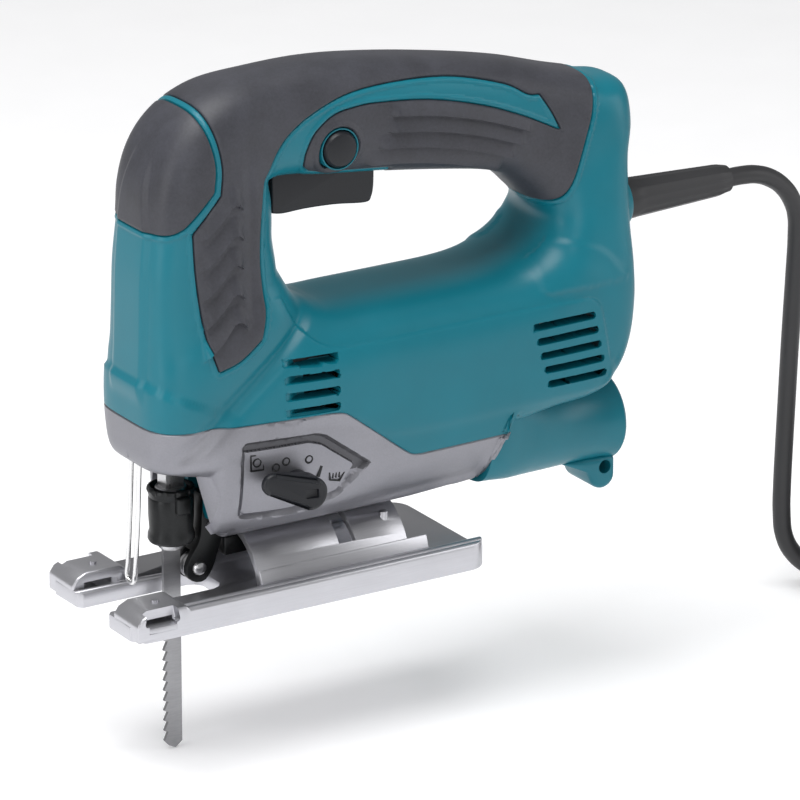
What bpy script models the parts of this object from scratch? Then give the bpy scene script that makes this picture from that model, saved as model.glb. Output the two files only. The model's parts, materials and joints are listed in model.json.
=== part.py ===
"""A corded D-handle jigsaw, as separate solids in metres, +Z up.

X runs from the blade (negative) to the cord (positive), Y from left to right, and the sole of the base is Z = 0.
The lengths below are millimetres; MM turns them into metres where an object is made.
"""

import math

import bmesh
import bpy
from mathutils import Matrix, Vector
import numpy as np

MM = 0.001
GAP = 0.3  # between neighbours that touch
FAR = 60.0  # past either side of the tool

# the tool body, a ring of sections round the hand hole: each goes from the outer outline (x, z) to the hole's
# outline (x, z), and has a half width and how square it is on its outer and its hole side
STATIONS = [
    ((-64.0, 62.0), (8.0, 118.0), 27.0, 5, 3),
    ((-66.0, 70.0), (5.0, 120.0), 29.0, 5, 3),
    ((-66.3, 84.0), (2.0, 124.0), 29.5, 5, 3),
    ((-66.0, 98.0), (-1.0, 129.0), 28.0, 5, 3),
    ((-65.0, 106.0), (-3.0, 133.0), 25.5, 5, 3),
    ((-63.5, 120.0), (-5.0, 138.0), 24.0, 4.5, 3),
    ((-62.3, 138.0), (-7.5, 146.0), 23.5, 4.5, 3),
    ((-60.5, 156.0), (-9.5, 154.0), 23.5, 4, 3),
    ((-58.3, 169.0), (-11.0, 161.0), 23.5, 4, 3),
    ((-55.0, 181.0), (-12.0, 165.0), 23.0, 4, 3),
    ((-49.5, 191.5), (-11.0, 167.5), 22.5, 3.5, 3),
    ((-41.0, 200.0), (-7.0, 168.0), 22.0, 3, 3),
    ((-27.0, 206.0), (0.0, 167.5), 20.5, 3, 3),
    ((-8.0, 208.6), (9.0, 166.0), 19.0, 2.6, 2.8),
    ((18.0, 209.0), (22.0, 164.0), 18.5, 2.6, 2.8),
    ((45.0, 206.3), (47.0, 161.0), 18.5, 2.6, 2.8),
    ((77.0, 201.0), (74.0, 157.0), 18.5, 2.6, 2.8),
    ((105.0, 195.0), (93.0, 153.5), 18.5, 2.6, 2.8),
    ((128.0, 188.0), (101.0, 150.5), 19.0, 2.8, 2.8),
    ((144.0, 183.5), (106.0, 146.5), 20.0, 3, 2.8),
    ((156.0, 180.0), (110.0, 142.5), 21.0, 3, 2.8),
    ((158.0, 168.0), (114.0, 138.5), 22.0, 3.5, 2.8),
    ((155.0, 154.0), (117.0, 134.0), 23.5, 4, 2.8),
    ((154.5, 140.0), (117.5, 130.0), 25.0, 4, 2.8),
    ((154.5, 125.0), (116.0, 126.0), 27.0, 4, 3),
    ((154.5, 108.0), (113.0, 122.0), 29.0, 5, 3),
    ((154.0, 94.0), (108.5, 119.0), 31.0, 5, 3),
    ((151.5, 78.0), (103.0, 117.0), 32.0, 5, 3.2),
    ((146.0, 66.0), (97.0, 115.5), 32.5, 5, 3.2),
    ((134.0, 58.5), (90.0, 114.5), 33.0, 6, 3.2),
    ((115.0, 56.2), (81.0, 114.0), 33.0, 6, 3.2),
    ((92.0, 53.0), (70.0, 114.0), 33.0, 6, 3.2),
    ((70.0, 52.0), (58.0, 114.0), 33.0, 6, 3.2),
    ((45.0, 52.0), (45.0, 114.0), 33.0, 6, 3.2),
    ((20.0, 52.0), (33.0, 114.0), 33.0, 6, 3.2),
    ((0.0, 52.0), (24.0, 114.0), 32.5, 6, 3.2),
    ((-20.0, 53.0), (18.0, 114.5), 31.5, 6, 3.2),
    ((-38.0, 57.0), (14.0, 115.5), 30.0, 6, 3.2),
    ((-54.0, 60.0), (11.0, 116.5), 28.5, 6, 3.2),
]
WALL = 3.5
RUBBER = 1.8

# outlines seen from the side, as (x, z)
ALLOY = [(-90, 10), (110, 10), (94.5, 51.8), (45, 51.8), (11, 80), (-90, 80)]
GRIP = [(-39, 230), (-39, 206), (-35, 190), (-33, 174), (-35, 168), (-47.5, 156), (-46, 135.5), (-43, 113),
        (-39, 100), (-17, 111), (-15, 114), (-17, 140), (-16, 165), (-10, 179), (-1, 188), (9, 193), (3, 186),
        (3, 172), (8, 150), (60, 120), (104, 141), (108, 139), (114, 137.5), (120, 138), (125, 145),
        (131, 161), (138, 180), (141, 200), (141, 230)]
TEAL_TONGUE = [(-12, 150), (12, 150), (9, 167), (6, 175), (8, 183), (17.5, 191), (35, 193), (62, 190),
               (85, 184), (108, 174.5), (121, 168), (113, 183), (106, 182), (96.5, 190), (72, 197),
               (49, 199), (24, 198), (9, 193), (-1, 188), (-10, 179)]
NOSE_CAP = [(-90, 158), (-50, 159), (-37, 171), (-36, 174), (-38, 188), (-42, 203), (-42, 230), (-90, 230)]

# the base and its tilt
TILT_Z = 3.0
SADDLE_R = 26.0
SADDLE_WALL = 3.0
SADDLE_X = (-19.5, 48.0)
BASE_HALF = 35.0
BASE_X = (-80.0, 80.0)
DECK_TOP = 7.0
BOLT_X = 22.0

# the reciprocating parts
PLUNGER_X = -44.5
STROKE = 23.0
CRANK_R = STROKE / 2
GEAR_Z = 105.5
MOTOR_Z = 83.0
YOKE_Z = 97.0
CRANK_PIN_Y = math.sqrt(CRANK_R**2 - (GEAR_Z - YOKE_Z) ** 2)
ROLLER = (-35.0, 13.0)
HOLDER_PIVOT = (-28.5, 38.0)

# the controls
LEVER = (-6.5, 50.0)
BUTTON = (20.4, 177.5)
DUST_Z = 39.0

# the cord, which leaves the guard, drops to the surface under the blade and goes into a coil
CORD_Z = 127.0
CORD_D = 7.5
FLOOR_Z = -61.5
COIL_AT = (320.0, -30.0)
COIL_R = 42.0
COIL_HIGH = 23.0
CORD_ROUTE = [
    (213.3, 0, 127), (219, 0, 127), (227.5, 0.3, 125), (235, 0.8, 120), (241.5, 1.6, 113),
    (246.3, 2.6, 104), (249, 3.8, 93), (250, 5, 80), (250.3, 6.4, 62), (250.3, 7.8, 42), (250.2, 9, 22),
    (250, 10.2, 2), (250.2, 11, -14), (251.6, 11.6, -28), (256, 12, -41), (263.6, 12, -51),
    (272, 12, -56.2), (282, 12, -57.6),
]
PLUG_AT = (290.0, -66.0, -25.0)

SCREWS = [(-24, 192), (60, 180), (147, 165), (146, 95), (-18, 138)]

COLOURS = {
    "teal": ((0.010, 0.235, 0.285), 0.35, 0.0),
    "rubber": ((0.045, 0.043, 0.050), 0.75, 0.0),
    "alloy": ((0.50, 0.50, 0.50), 0.40, 1.0),
    "steel": ((0.62, 0.62, 0.61), 0.30, 1.0),
    "black": ((0.020, 0.020, 0.022), 0.45, 0.0),
    "copper": ((0.70, 0.32, 0.18), 0.35, 1.0),
    "brass": ((0.70, 0.55, 0.25), 0.35, 1.0),
}


def clear_scene():
    for thing in list(bpy.data.objects):
        bpy.data.objects.remove(thing)
    for name in ("jigsaw", "cutters"):
        bpy.context.scene.collection.children.link(bpy.data.collections.new(name))
    bpy.data.collections["cutters"].hide_render = True


def material(kind):
    made = bpy.data.materials.get(kind)
    if made is None:
        made = bpy.data.materials.new(kind)
        made.use_nodes = True
        shader = made.node_tree.nodes["Principled BSDF"]
        colour, roughness, metallic = COLOURS[kind]
        shader.inputs["Base Color"].default_value = (*colour, 1)
        shader.inputs["Roughness"].default_value = roughness
        shader.inputs["Metallic"].default_value = metallic
    return made


def place(obj, kind=None):
    """Links the object as a part of this material, or as a cutter if there is none."""
    home = bpy.data.collections["jigsaw" if kind else "cutters"]
    for other in list(obj.users_collection):
        other.objects.unlink(obj)
    home.objects.link(obj)
    if kind:
        obj.data.materials.clear()
        obj.data.materials.append(material(kind))
    else:
        obj.hide_render = True
        obj.display_type = "WIRE"
    return obj


def from_bmesh(name, bm, kind=None):
    bmesh.ops.remove_doubles(bm, verts=bm.verts, dist=1e-6)
    bmesh.ops.recalc_face_normals(bm, faces=bm.faces)
    mesh = bpy.data.meshes.new(name)
    bm.to_mesh(mesh)
    bm.free()
    return place(bpy.data.objects.new(name, mesh), kind)


def baked(obj, turn, kind):
    """The object as a closed mesh of its own, turned, with the modifiers or the curve gone."""
    place(obj)
    bpy.context.view_layer.update()
    graph = bpy.context.evaluated_depsgraph_get()
    bm = bmesh.new()
    mesh = bpy.data.meshes.new_from_object(obj.evaluated_get(graph))
    bm.from_mesh(mesh)
    bpy.data.meshes.remove(mesh)
    bmesh.ops.transform(bm, matrix=turn, verts=bm.verts)
    name = obj.name
    bpy.data.objects.remove(obj)
    return from_bmesh(name, bm, kind)


def box(name, low, high, kind=None, bevel=0.0):
    bm = bmesh.new()
    size = Vector(high) - Vector(low)
    middle = (Vector(high) + Vector(low)) / 2
    bmesh.ops.create_cube(bm, size=1, matrix=Matrix.Translation(middle * MM) @ Matrix.Diagonal((*(size * MM), 1)))
    if bevel:
        bmesh.ops.bevel(bm, geom=bm.edges[:], offset=bevel * MM, segments=1, affect="EDGES")
    return from_bmesh(name, bm, kind)


def rod(name, axis, start, end, radius, kind=None, sides=16):
    """A cylinder along X, Y or Z; start and end are its middle's ends."""
    bm = bmesh.new()
    along = Vector(end) - Vector(start)
    turn = {"X": Matrix.Rotation(math.pi / 2, 4, "Y"), "Y": Matrix.Rotation(math.pi / 2, 4, "X"), "Z": Matrix()}
    where = Matrix.Translation((Vector(start) + Vector(end)) / 2 * MM) @ turn[axis]
    bmesh.ops.create_cone(bm, cap_ends=True, segments=sides, radius1=radius * MM, radius2=radius * MM,
                          depth=along.length * MM, matrix=where)
    return from_bmesh(name, bm, kind)


def turned(name, axis, at, profile, kind=None, sides=20):
    """A turned solid: the profile is (along the axis, radius) and is closed if it leaves the axis."""
    hollow = min(r for _, r in profile) > 0
    mesh = bpy.data.meshes.new(name)
    count = len(profile)
    edges = [(i, (i + 1) % count) for i in range(count if hollow else count - 1)]
    mesh.from_pydata([(r * MM, 0, h * MM) for h, r in profile], edges, [])
    obj = bpy.data.objects.new(name, mesh)
    screw = obj.modifiers.new("turn", "SCREW")
    screw.steps = screw.render_steps = sides
    screw.use_merge_vertices = True
    screw.merge_threshold = 1e-6
    turn = {"X": Matrix.Rotation(math.pi / 2, 4, "Y"), "Y": Matrix.Rotation(-math.pi / 2, 4, "X"), "Z": Matrix()}
    return baked(obj, Matrix.Translation(Vector(at) * MM) @ turn[axis], kind)


def ring(name, axis, at, inner, outer, low, high, kind=None, sides=20):
    return turned(name, axis, at, [(low, inner), (high, inner), (high, outer), (low, outer)], kind, sides)


def slab(name, plane, outline, low, high, kind=None):
    """A flat outline given thickness: in XZ it runs along Y, in XY along Z, and in YZ along X."""
    curve = bpy.data.curves.new(name, "CURVE")
    curve.dimensions = "2D"
    curve.fill_mode = "BOTH"
    curve.extrude = (high - low) / 2 * MM
    spline = curve.splines.new("POLY")
    spline.points.add(len(outline) - 1)
    for point, (a, b) in zip(spline.points, outline, strict=True):
        point.co = (a * MM, b * MM, 0, 1)
    spline.use_cyclic_u = True
    middle = (low + high) / 2 * MM
    turn = {
        "XZ": Matrix.Translation((0, middle, 0)) @ Matrix.Rotation(math.pi / 2, 4, "X"),
        "XY": Matrix.Translation((0, 0, middle)),
        "YZ": Matrix.Translation((middle, 0, 0)) @ Matrix(((0, 0, 1, 0), (1, 0, 0, 0), (0, 1, 0, 0), (0, 0, 0, 1))),
    }
    return baked(bpy.data.objects.new(name, curve), turn[plane], kind)


def loft(name, loops, closed, kind=None):
    """Bridges loops of the same number of points; the first meets the last if closed, or else both are capped."""
    bm = bmesh.new()
    rows = [[bm.verts.new(Vector(p) * MM) for p in loop] for loop in loops]
    count = len(rows[0])
    pairs = list(zip(rows, rows[1:] + rows[:1], strict=True))
    for a, b in pairs if closed else pairs[:-1]:
        for i in range(count):
            bm.faces.new((a[i], a[(i + 1) % count], b[(i + 1) % count], b[i]))
    if not closed:
        bm.faces.new(rows[0])
        bm.faces.new(rows[-1][::-1])
    bmesh.ops.triangulate(bm, faces=bm.faces)
    return from_bmesh(name, bm, kind)


def boolean(obj, other, operation="DIFFERENCE"):
    modifier = obj.modifiers.new(other.name, "BOOLEAN")
    modifier.object = other
    modifier.operation = operation
    return obj


def grown(outline, by):
    """The outline moved outward by this much, whichever way round it runs."""
    points = [Vector(p) for p in outline]
    area = sum(a.cross(b) for a, b in zip(points, points[1:] + points[:1], strict=True))
    side = by if area > 0 else -by
    made = []
    for before, here, after in zip(points[-1:] + points[:-1], points, points[1:] + points[:1], strict=True):
        first = (here - before).normalized()
        second = (after - here).normalized()
        out = (Vector((first.y, -first.x)) + Vector((second.y, -second.x))).normalized()
        made.append(tuple(here + out * side))
    return made


def section(station, inset, points):
    """One section of the tool body: a superellipse, squarer on one side than on the other."""
    outer, inner, half, square_out, square_in = station
    outer, inner = Vector(outer), Vector(inner)
    reach = (outer - inner).length / 2 - inset
    middle, along = (outer + inner) / 2, (outer - inner).normalized()
    loop = []
    for k in range(points):
        angle = 2 * math.pi * k / points
        c, s = math.cos(angle), math.sin(angle)
        power = 2 / (square_out if c > 0 else square_in)
        across = math.copysign(abs(s) ** power, s) if abs(s) > 1e-9 else 0.0
        where = middle + along * math.copysign(abs(c) ** power, c) * reach
        loop.append((where.x, across * (half - inset), where.y))
    return loop


def body(name, inset, points, kind=None):
    return loft(name, [section(s, inset, points) for s in STATIONS], True, kind)


def half_space(name, side):
    low, high = (-FAR, -GAP / 2) if side < 0 else (GAP / 2, FAR)
    return box(name, (-100, low, 0), (200, high, 240))


def make_cutters():
    """The shapes that the casings share: the hollow inside them, the outlines and the openings."""
    c = {"void": body("cut_void", WALL, 8)}
    for i, (x, z) in enumerate(SCREWS):
        boolean(c["void"], rod(f"cut_boss_{i}", "Y", (x, -FAR, z), (x, FAR, z), 4.2, sides=10))
    c["under_grip"] = body("cut_under_grip", RUBBER, 14)
    c["under_recess"] = body("cut_under_recess", RUBBER + GAP, 14)
    c["alloy"] = slab("cut_alloy", "XZ", ALLOY, -FAR, FAR)
    c["not_alloy"] = slab("cut_not_alloy", "XZ", grown(ALLOY, GAP), -FAR, FAR)
    c["grip"] = slab("cut_grip", "XZ", GRIP, -FAR, FAR)
    tongue = slab("cut_tongue_wide", "XZ", grown(TEAL_TONGUE, GAP), -FAR, FAR)
    c["tongue"] = tongue
    recess = slab("cut_grip_recess", "XZ", grown(GRIP, GAP), -FAR, FAR)
    boolean(recess, slab("cut_tongue", "XZ", TEAL_TONGUE, -FAR, FAR))
    c["grip_recess"] = boolean(recess, c["under_recess"])
    c["cap"] = slab("cut_cap", "XZ", NOSE_CAP, -FAR, FAR)
    cap_recess = slab("cut_cap_recess", "XZ", grown(NOSE_CAP, GAP), -FAR, FAR)
    c["cap_recess"] = boolean(cap_recess, c["under_recess"])
    c["left"] = half_space("cut_left", -1)
    c["right"] = half_space("cut_right", 1)
    c["trigger"] = box("cut_trigger", (-4, -9, 140), (43.5, 9, 173))
    c["button"] = rod("cut_button", "Y", (BUTTON[0], -FAR, BUTTON[1]), (BUTTON[0], -5, BUTTON[1]), 8)
    return c


def vent_cutters():
    """Four slots beside the fan and five behind the commutator, through both casings."""
    made = []
    for i in range(4):
        z = 101.5 - 6.7 * i
        made.append(box(f"cut_front_vent_{i}", (-11, -FAR, z - 1.6), (12, FAR, z + 1.6)))
    for i in range(5):
        x, z = 99 + 1.75 * i, 94.6 - 6.1 * i
        made.append(box(f"cut_rear_vent_{i}", (x, -FAR, z - 1.5), (x + 30, FAR, z + 1.5)))
    return made


def casings(c):
    vents = vent_cutters()
    for side, name in ((-1, "left"), (1, "right")):
        shell = body(f"housing_{name}", 0, 14, "teal")
        for key in ("void", "not_alloy", "grip_recess", "cap_recess", "trigger"):
            boolean(shell, c[key])
        for vent in vents:
            boolean(shell, vent)
        if side < 0:
            boolean(shell, c["button"])
        for i, (x, z) in enumerate(SCREWS):
            bore = f"cut_bore_{i}"
            hole = bpy.data.objects.get(bore)
            if hole is None:
                profile = [(-9, 0), (-9, 1.9), (11, 1.9), (11, 3.7), (FAR, 3.7), (FAR, 0)]
                hole = turned(bore, "Y", (x, 0, z), profile, sides=10)
            boolean(shell, hole)
        boolean(shell, c[name], "INTERSECT")
        grip = body(f"grip_{name}", 0, 14, "rubber")
        boolean(grip, c["grip"], "INTERSECT")
        for key in ("under_grip", "tongue", "trigger"):
            boolean(grip, c[key])
        if side < 0:
            boolean(grip, c["button"])
        boolean(grip, c[name], "INTERSECT")
    cap = body("nose_cap", 0, 14, "rubber")
    boolean(cap, c["cap"], "INTERSECT")
    boolean(cap, c["under_grip"])


def screws():
    for i, (x, z) in enumerate(SCREWS):
        profile = [(-8.5, 0), (-8.5, 1.6), (11.3, 1.6), (11.3, 3.3), (13.8, 3.0), (13.8, 0)]
        turned(f"housing_screw_{i + 1}", "Y", (x, 0, z), profile, "steel", 10)


def foot_loop(x, low, half_low, half, lean=(0, 0, 0, 0)):
    side = [(half_low, low, lean[0]), (half_low + 9.5, low + 11, lean[1]), (half, 46, lean[2]), (half, 60, lean[3])]
    return [(x + d, y, z) for y, z, d in side] + [(x + d, -y, z) for y, z, d in side[::-1]]


def gear_housing(c):
    """The alloy casing: the nose, the trough under the gears and the foot that sits on the saddle."""
    housing = body("gear_housing", 0, 14, "alloy")
    foot = loft("cut_foot", [
        foot_loop(-41, 28, 11.5, 25.0, (4, 3, 1, 0)),
        foot_loop(-26, 26.3, 11.5, 28.5),
        foot_loop(49, 26.3, 11.5, 28.5),
        foot_loop(50, 31, 15.0, 28.5),
        foot_loop(82, 31, 15.0, 28.5, (1, 4, 8, 12)),
    ], False)
    boolean(housing, foot, "UNION")
    boolean(housing, c["alloy"], "INTERSECT")
    boolean(housing, c["void"])
    nose = box("cut_nose_mouth", (-57, -12, 40), (-33.5, 12, 90))
    boolean(housing, nose)
    boolean(housing, rod("cut_clamp_room", "Z", (PLUNGER_X, 0, 20), (PLUNGER_X, 0, 45), 10.6, sides=24))
    boolean(housing, box("cut_holder_pocket", (-45, -6.5, 20), (-15, 6.5, 56.8)))
    x, z = HOLDER_PIVOT
    boolean(housing, rod("cut_holder_pin", "Y", (x, -9.5, z), (x, 9.5, z), 2.5, sides=12))
    at = (0, 0, TILT_Z)
    boolean(housing, rod("cut_groove", "X", (SADDLE_X[0] - 1, *at[1:]), (SADDLE_X[1] + 1, *at[1:]),
                         SADDLE_R + 0.4, sides=48))
    boolean(housing, rod("cut_bolt_thread", "Z", (BOLT_X, 0, 20), (BOLT_X, 0, 46), 3.3, sides=12))
    boolean(housing, rod("cut_spindle", "Y", (LEVER[0], -40, LEVER[1]), (LEVER[0], -17, LEVER[1]), 3.4, sides=12))
    boolean(housing, rod("cut_duct", "X", (74, 0, DUST_Z + 3), (110, 0, DUST_Z + 3), 8, sides=16))


def base_outline():
    """The deck from above: the blade slot opens at the front, and the rear corners are round."""
    slot, radius = 10.5, 8.0
    x0, x1 = BASE_X
    right = [(-27, 0), (-27, slot - 4), (-31, slot), (x0 + 2, slot), (x0, slot + 2), (x0, BASE_HALF - 5),
             (x0 + 5, BASE_HALF)]
    for k in range(4):
        angle = math.radians(90 - 30 * k)
        right.append((x1 - radius + radius * math.cos(angle), BASE_HALF - radius + radius * math.sin(angle)))
    return right[1:] + [(x, -y) for x, y in right[:0:-1]]


def base():
    plate = slab("base_plate", "XY", base_outline(), 0, DECK_TOP, "steel")
    for side, name in ((-1, "left"), (1, "right")):
        ys = sorted((side * 27, side * (BASE_HALF - 0.2)))
        rail = [(-58, DECK_TOP - 2), (72, DECK_TOP - 2), (70, 10.5), (-58, 10.5)]
        boolean(plate, slab(f"cut_rail_{name}", "XZ", rail, *ys), "UNION")
        foot = [(-79, 4), (-57, 4), (-57, 12), (-74, 12), (-79, 9)]
        ys = sorted((side * 15.5, side * (BASE_HALF - 0.1)))
        boolean(plate, slab(f"cut_foot_{name}", "XZ", foot, *ys), "UNION")
    boolean(plate, box("cut_rule_window", (-75, -FAR, 3.6), (-62, FAR, 8.2)))
    boolean(plate, box("cut_bolt_window", (BOLT_X - 9, -9, -5), (BOLT_X + 9, 9, 10)))
    arc = [math.radians(12.5 + 155 * k / 14) for k in range(15)]
    outer = [(SADDLE_R * math.cos(a), TILT_Z + SADDLE_R * math.sin(a)) for a in arc]
    inner = [((SADDLE_R - SADDLE_WALL) * math.cos(a), TILT_Z + (SADDLE_R - SADDLE_WALL) * math.sin(a)) for a in arc]
    low = DECK_TOP + GAP
    outer[0], outer[-1] = (SADDLE_R - 0.2, low), (0.2 - SADDLE_R, low)
    inner[0], inner[-1] = (SADDLE_R - SADDLE_WALL - 0.2, low), (SADDLE_WALL + 0.2 - SADDLE_R, low)
    saddle = slab("tilt_saddle", "YZ", outer + inner[::-1], *SADDLE_X, "steel")
    boolean(saddle, box("cut_tilt_slot", (BOLT_X - 4, -21.5, 10), (BOLT_X + 4, 21.5, 40)))


def tilt_clamp():
    """The bolt and the curved plate that pull the saddle against the foot from inside it."""
    top = SADDLE_R - SADDLE_WALL - GAP
    arc = [math.radians(70 + 40 * k / 6) for k in range(7)]
    outer = [(top * math.cos(a), TILT_Z + top * math.sin(a)) for a in arc]
    inner = [((top - 3) * math.cos(a), TILT_Z + (top - 3) * math.sin(a)) for a in arc]
    plate = slab("clamp_plate", "YZ", outer + inner[::-1], BOLT_X - 8, BOLT_X + 8, "steel")
    boolean(plate, rod("cut_plate_hole", "Z", (BOLT_X, 0, 10), (BOLT_X, 0, 40), 3.3, sides=12))
    profile = [(14.5, 0), (14.5, 5), (21.8, 5), (21.8, 3), (44, 3), (44, 0)]
    turned("clamp_bolt", "Z", (BOLT_X, 0, 0), profile, "steel", 12)


def plunger_parts():
    x = PLUNGER_X
    bar = box("plunger", (x - 4, -3.25, 47.5), (x + 4, 3.25, 146), "steel")
    boolean(bar, box("cut_yoke", (x - 2.5, -18.5, YOKE_Z - 5.5), (x + 3.5, 18.5, YOKE_Z + 5.5)), "UNION")
    boolean(bar, box("cut_yoke_slot", (x + 1.5, -15.4, YOKE_Z - 3.9), (x + 9, 15.4, YOKE_Z + 3.9)))
    guide = box("plunger_guide", (x - 11, -7.5, 68), (x - 8, 7.5, 151), "black")
    for i, low in enumerate((71, 128)):
        lug = box(f"cut_lug_{i}", (x - 9, -7, low), (x + 7, 7, low + 11))
        boolean(guide, lug, "UNION")
        boolean(guide, box(f"cut_lug_bore_{i}", (x - 4.3, -3.55, low - 2), (x + 4.3, 3.55, low + 13)))
    boolean(guide, rod("cut_guide_pin", "Y", (x - 9.5, -20, 147), (x - 9.5, 20, 147), 1.2, sides=8))
    rod("guide_pin", "Y", (x - 9.5, -12, 147), (x - 9.5, 12, 147), 1.0, "steel", 8)
    core = turned("clamp_core", "Z", (x, 0, 0), [(26, 0), (26, 6.3), (47.2, 6.3), (47.2, 0)], "black", 14)
    boolean(core, box("cut_blade_socket", (x - 3.7, -1.05, 20), (x + 3.7, 1.05, 41)))
    sleeve = turned("clamp_sleeve", "Z", (x, 0, 0), [(25, 6.6), (46, 6.6), (48, 8.2), (46.5, 9.25), (34, 8.6),
                                                     (27, 9.25), (25, 8.4)], "black", 16)
    boolean(sleeve, box("cut_sleeve_tab", (x - 3, -10.9, 40), (x + 3, -4, 45)), "UNION")
    boolean(sleeve, rod("cut_sleeve_bore", "Z", (x, 0, 20), (x, 0, 60), 6.6, sides=16))


def blade():
    """A wood-cutting blade: its teeth are on the front edge, and its tip is cut at an angle."""
    back, front, tip, top, pitch, deep = -41.0, -48.8, FLOOR_Z, 22.0, 4.2, 1.7
    outline = [(back, top), (back, tip + 2.5), (back - 3, tip), (front + deep, tip + 1.5)]
    z = tip + 3
    while z + pitch < -2:
        outline += [(front, z + 0.6), (front + deep, z + pitch)]
        z += pitch
    outline += [(front + 0.3, z + 3), (front + 0.3, top), (PLUNGER_X - 3.3, top + 1.5), (PLUNGER_X - 3.3, 40),
                (PLUNGER_X + 3.3, 40), (PLUNGER_X + 3.3, top + 1.5)]
    slab("blade", "XZ", outline, -0.75, 0.75, "steel")


def roller_parts():
    px, pz = HOLDER_PIVOT
    rx, rz = ROLLER
    outline = [(px - 3.5, pz + 4), (px + 9, pz + 4), (px + 11, pz - 4), (px + 4, pz - 9), (rx + 6, rz + 8),
               (rx + 4.5, rz - 3), (rx + 2, rz - 4.5), (rx - 2, rz - 4), (rx - 3, rz), (rx - 2, rz + 7),
               (px - 5, pz - 13.5), (px - 5, pz - 2)]
    holder = slab("roller_holder", "XZ", outline, -4.2, 4.2, "black")
    boolean(holder, box("cut_roller_gap", (rx - 8, -2.1, rz - 8), (rx + 7.5, 2.1, rz + 7)))
    boolean(holder, rod("cut_roller_pin", "Y", (rx, -9, rz), (rx, 9, rz), 1.5, sides=10))
    boolean(holder, rod("cut_pivot_bore", "Y", (px, -9, pz), (px, 9, pz), 2.5, sides=12))
    rod("roller_pin", "Y", (rx, -4.2, rz), (rx, 4.2, rz), 1.2, "steel", 10)
    rod("holder_pin", "Y", (px, -9.2, pz), (px, 9.2, pz), 2.2, "steel", 12)
    groove = [(-1.8, 1.5), (1.8, 1.5), (1.8, 5.3), (0.6, 5.3), (0.6, 4.6), (-0.6, 4.6), (-0.6, 5.3), (-1.8, 5.3)]
    turned("guide_roller", "Y", (rx, 0, rz), groove, "steel", 20)


def wire(name, points, radius, kind, resolution=2):
    curve = bpy.data.curves.new(name, "CURVE")
    curve.dimensions = "3D"
    curve.bevel_depth = radius * MM
    curve.bevel_resolution = resolution
    curve.use_fill_caps = True
    spline = curve.splines.new("POLY")
    spline.points.add(len(points) - 1)
    for point, where in zip(spline.points, points, strict=True):
        point.co = (*(Vector(where) * MM), 1)
    return place(bpy.data.objects.new(name, curve), kind)


def wire_guard():
    """A sprung wire loop in front of the blade, below the nose."""
    down = [(-60, -3, 60.5), (-60.4, -3, 50), (-62.4, -3, 16)]
    turn = [(-62.7, -3 * math.cos(a), 14 - 2.5 * math.sin(a)) for a in (0.5, 1.0, math.pi / 2, 2.14, 2.64)]
    back = [(x, -y, z) for x, y, z in down[::-1]]
    wire("wire_guard", down + turn + back, 1.0, "steel", 1)


def lever_and_spindle():
    """The orbital-action lever: its boss turns on the spindle, and its arm swings clear of the casing's side."""
    x, z = LEVER
    long, boss, tip = 19.0, 7.0, 5.0
    toward = math.radians(162)
    outline = []
    for k in range(9):
        angle = toward + math.pi / 2 + math.pi * k / 8
        outline.append((x + boss * math.cos(angle), z + boss * math.sin(angle)))
    ex, ez = x + (long - tip) * math.cos(toward), z + (long - tip) * math.sin(toward)
    for k in range(7):
        angle = toward - math.pi / 2 + math.pi * k / 6
        outline.append((ex + tip * math.cos(angle), ez + tip * math.sin(angle)))
    lever = slab("orbital_lever", "XZ", outline, -43.0, -34.0, "black")
    boolean(lever, rod("cut_lever_boss", "Y", (x, -36, z), (x, -29.7, z), boss - 0.5, sides=20), "UNION")
    rod("lever_spindle", "Y", (x, -29.4, z), (x, -17.3, z), 3.0, "steel", 12)


def trigger_and_lock():
    outline = [(-3.4, 171), (-3.4, 156), (-1, 152.8), (8, 151.6), (22, 150.6), (36, 149), (41, 150.5),
               (42.9, 157), (42.9, 171)]
    slab("trigger", "XZ", outline, -8, 8, "rubber")
    bx, bz = BUTTON
    profile = [(-20.5, 0), (-20.5, 6.3), (-19.3, 7.5), (-13, 7.5), (-13, 0)]
    turned("lock_button", "Y", (bx, 0, bz), profile, "black", 20)
    box("switch_body", (-1, -8, 178), (38, 8, 195), "black", 0.8)


def toothed(name, axis_z, teeth, root, outer, bore, x0, x1, kind, phase=0.0):
    outline = []
    for k in range(teeth):
        for part, radius in ((0.0, root), (0.3, outer), (0.6, outer)):
            angle = 2 * math.pi * (k + part + phase) / teeth
            outline.append((radius * math.cos(angle), axis_z + radius * math.sin(angle)))
    gear = slab(name, "YZ", outline, x0, x1, kind)
    return boolean(gear, rod(f"cut_{name}_bore", "X", (x0 - 2, 0, axis_z), (x1 + 2, 0, axis_z), bore, sides=12))


def gear_train():
    toothed("drive_gear", GEAR_Z, 36, 17.2, 18.3, 4.3, -30, -22, "steel")
    rod("gear_shaft", "X", (-31, 0, GEAR_Z), (-8, 0, GEAR_Z), 4, "steel", 12)
    y, z = CRANK_PIN_Y, YOKE_Z
    rod("crank_pin", "X", (-40.2, y, z), (-30.3, y, z), 3.4, "steel", 12)
    ring("gear_bearing", "X", (0, 0, GEAR_Z), 4.3, 9.0, -17.5, -10, "steel", 16)
    plate = box("bearing_retainer", (-19, -16, 69), (-7.5, 16, 118), "alloy", 2)
    for z, radius, name in ((GEAR_Z, 9.3, "gear"), (MOTOR_Z, 11.3, "motor")):
        boolean(plate, rod(f"cut_retainer_{name}", "X", (-30, 0, z), (0, 0, z), radius, sides=20))


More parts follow.
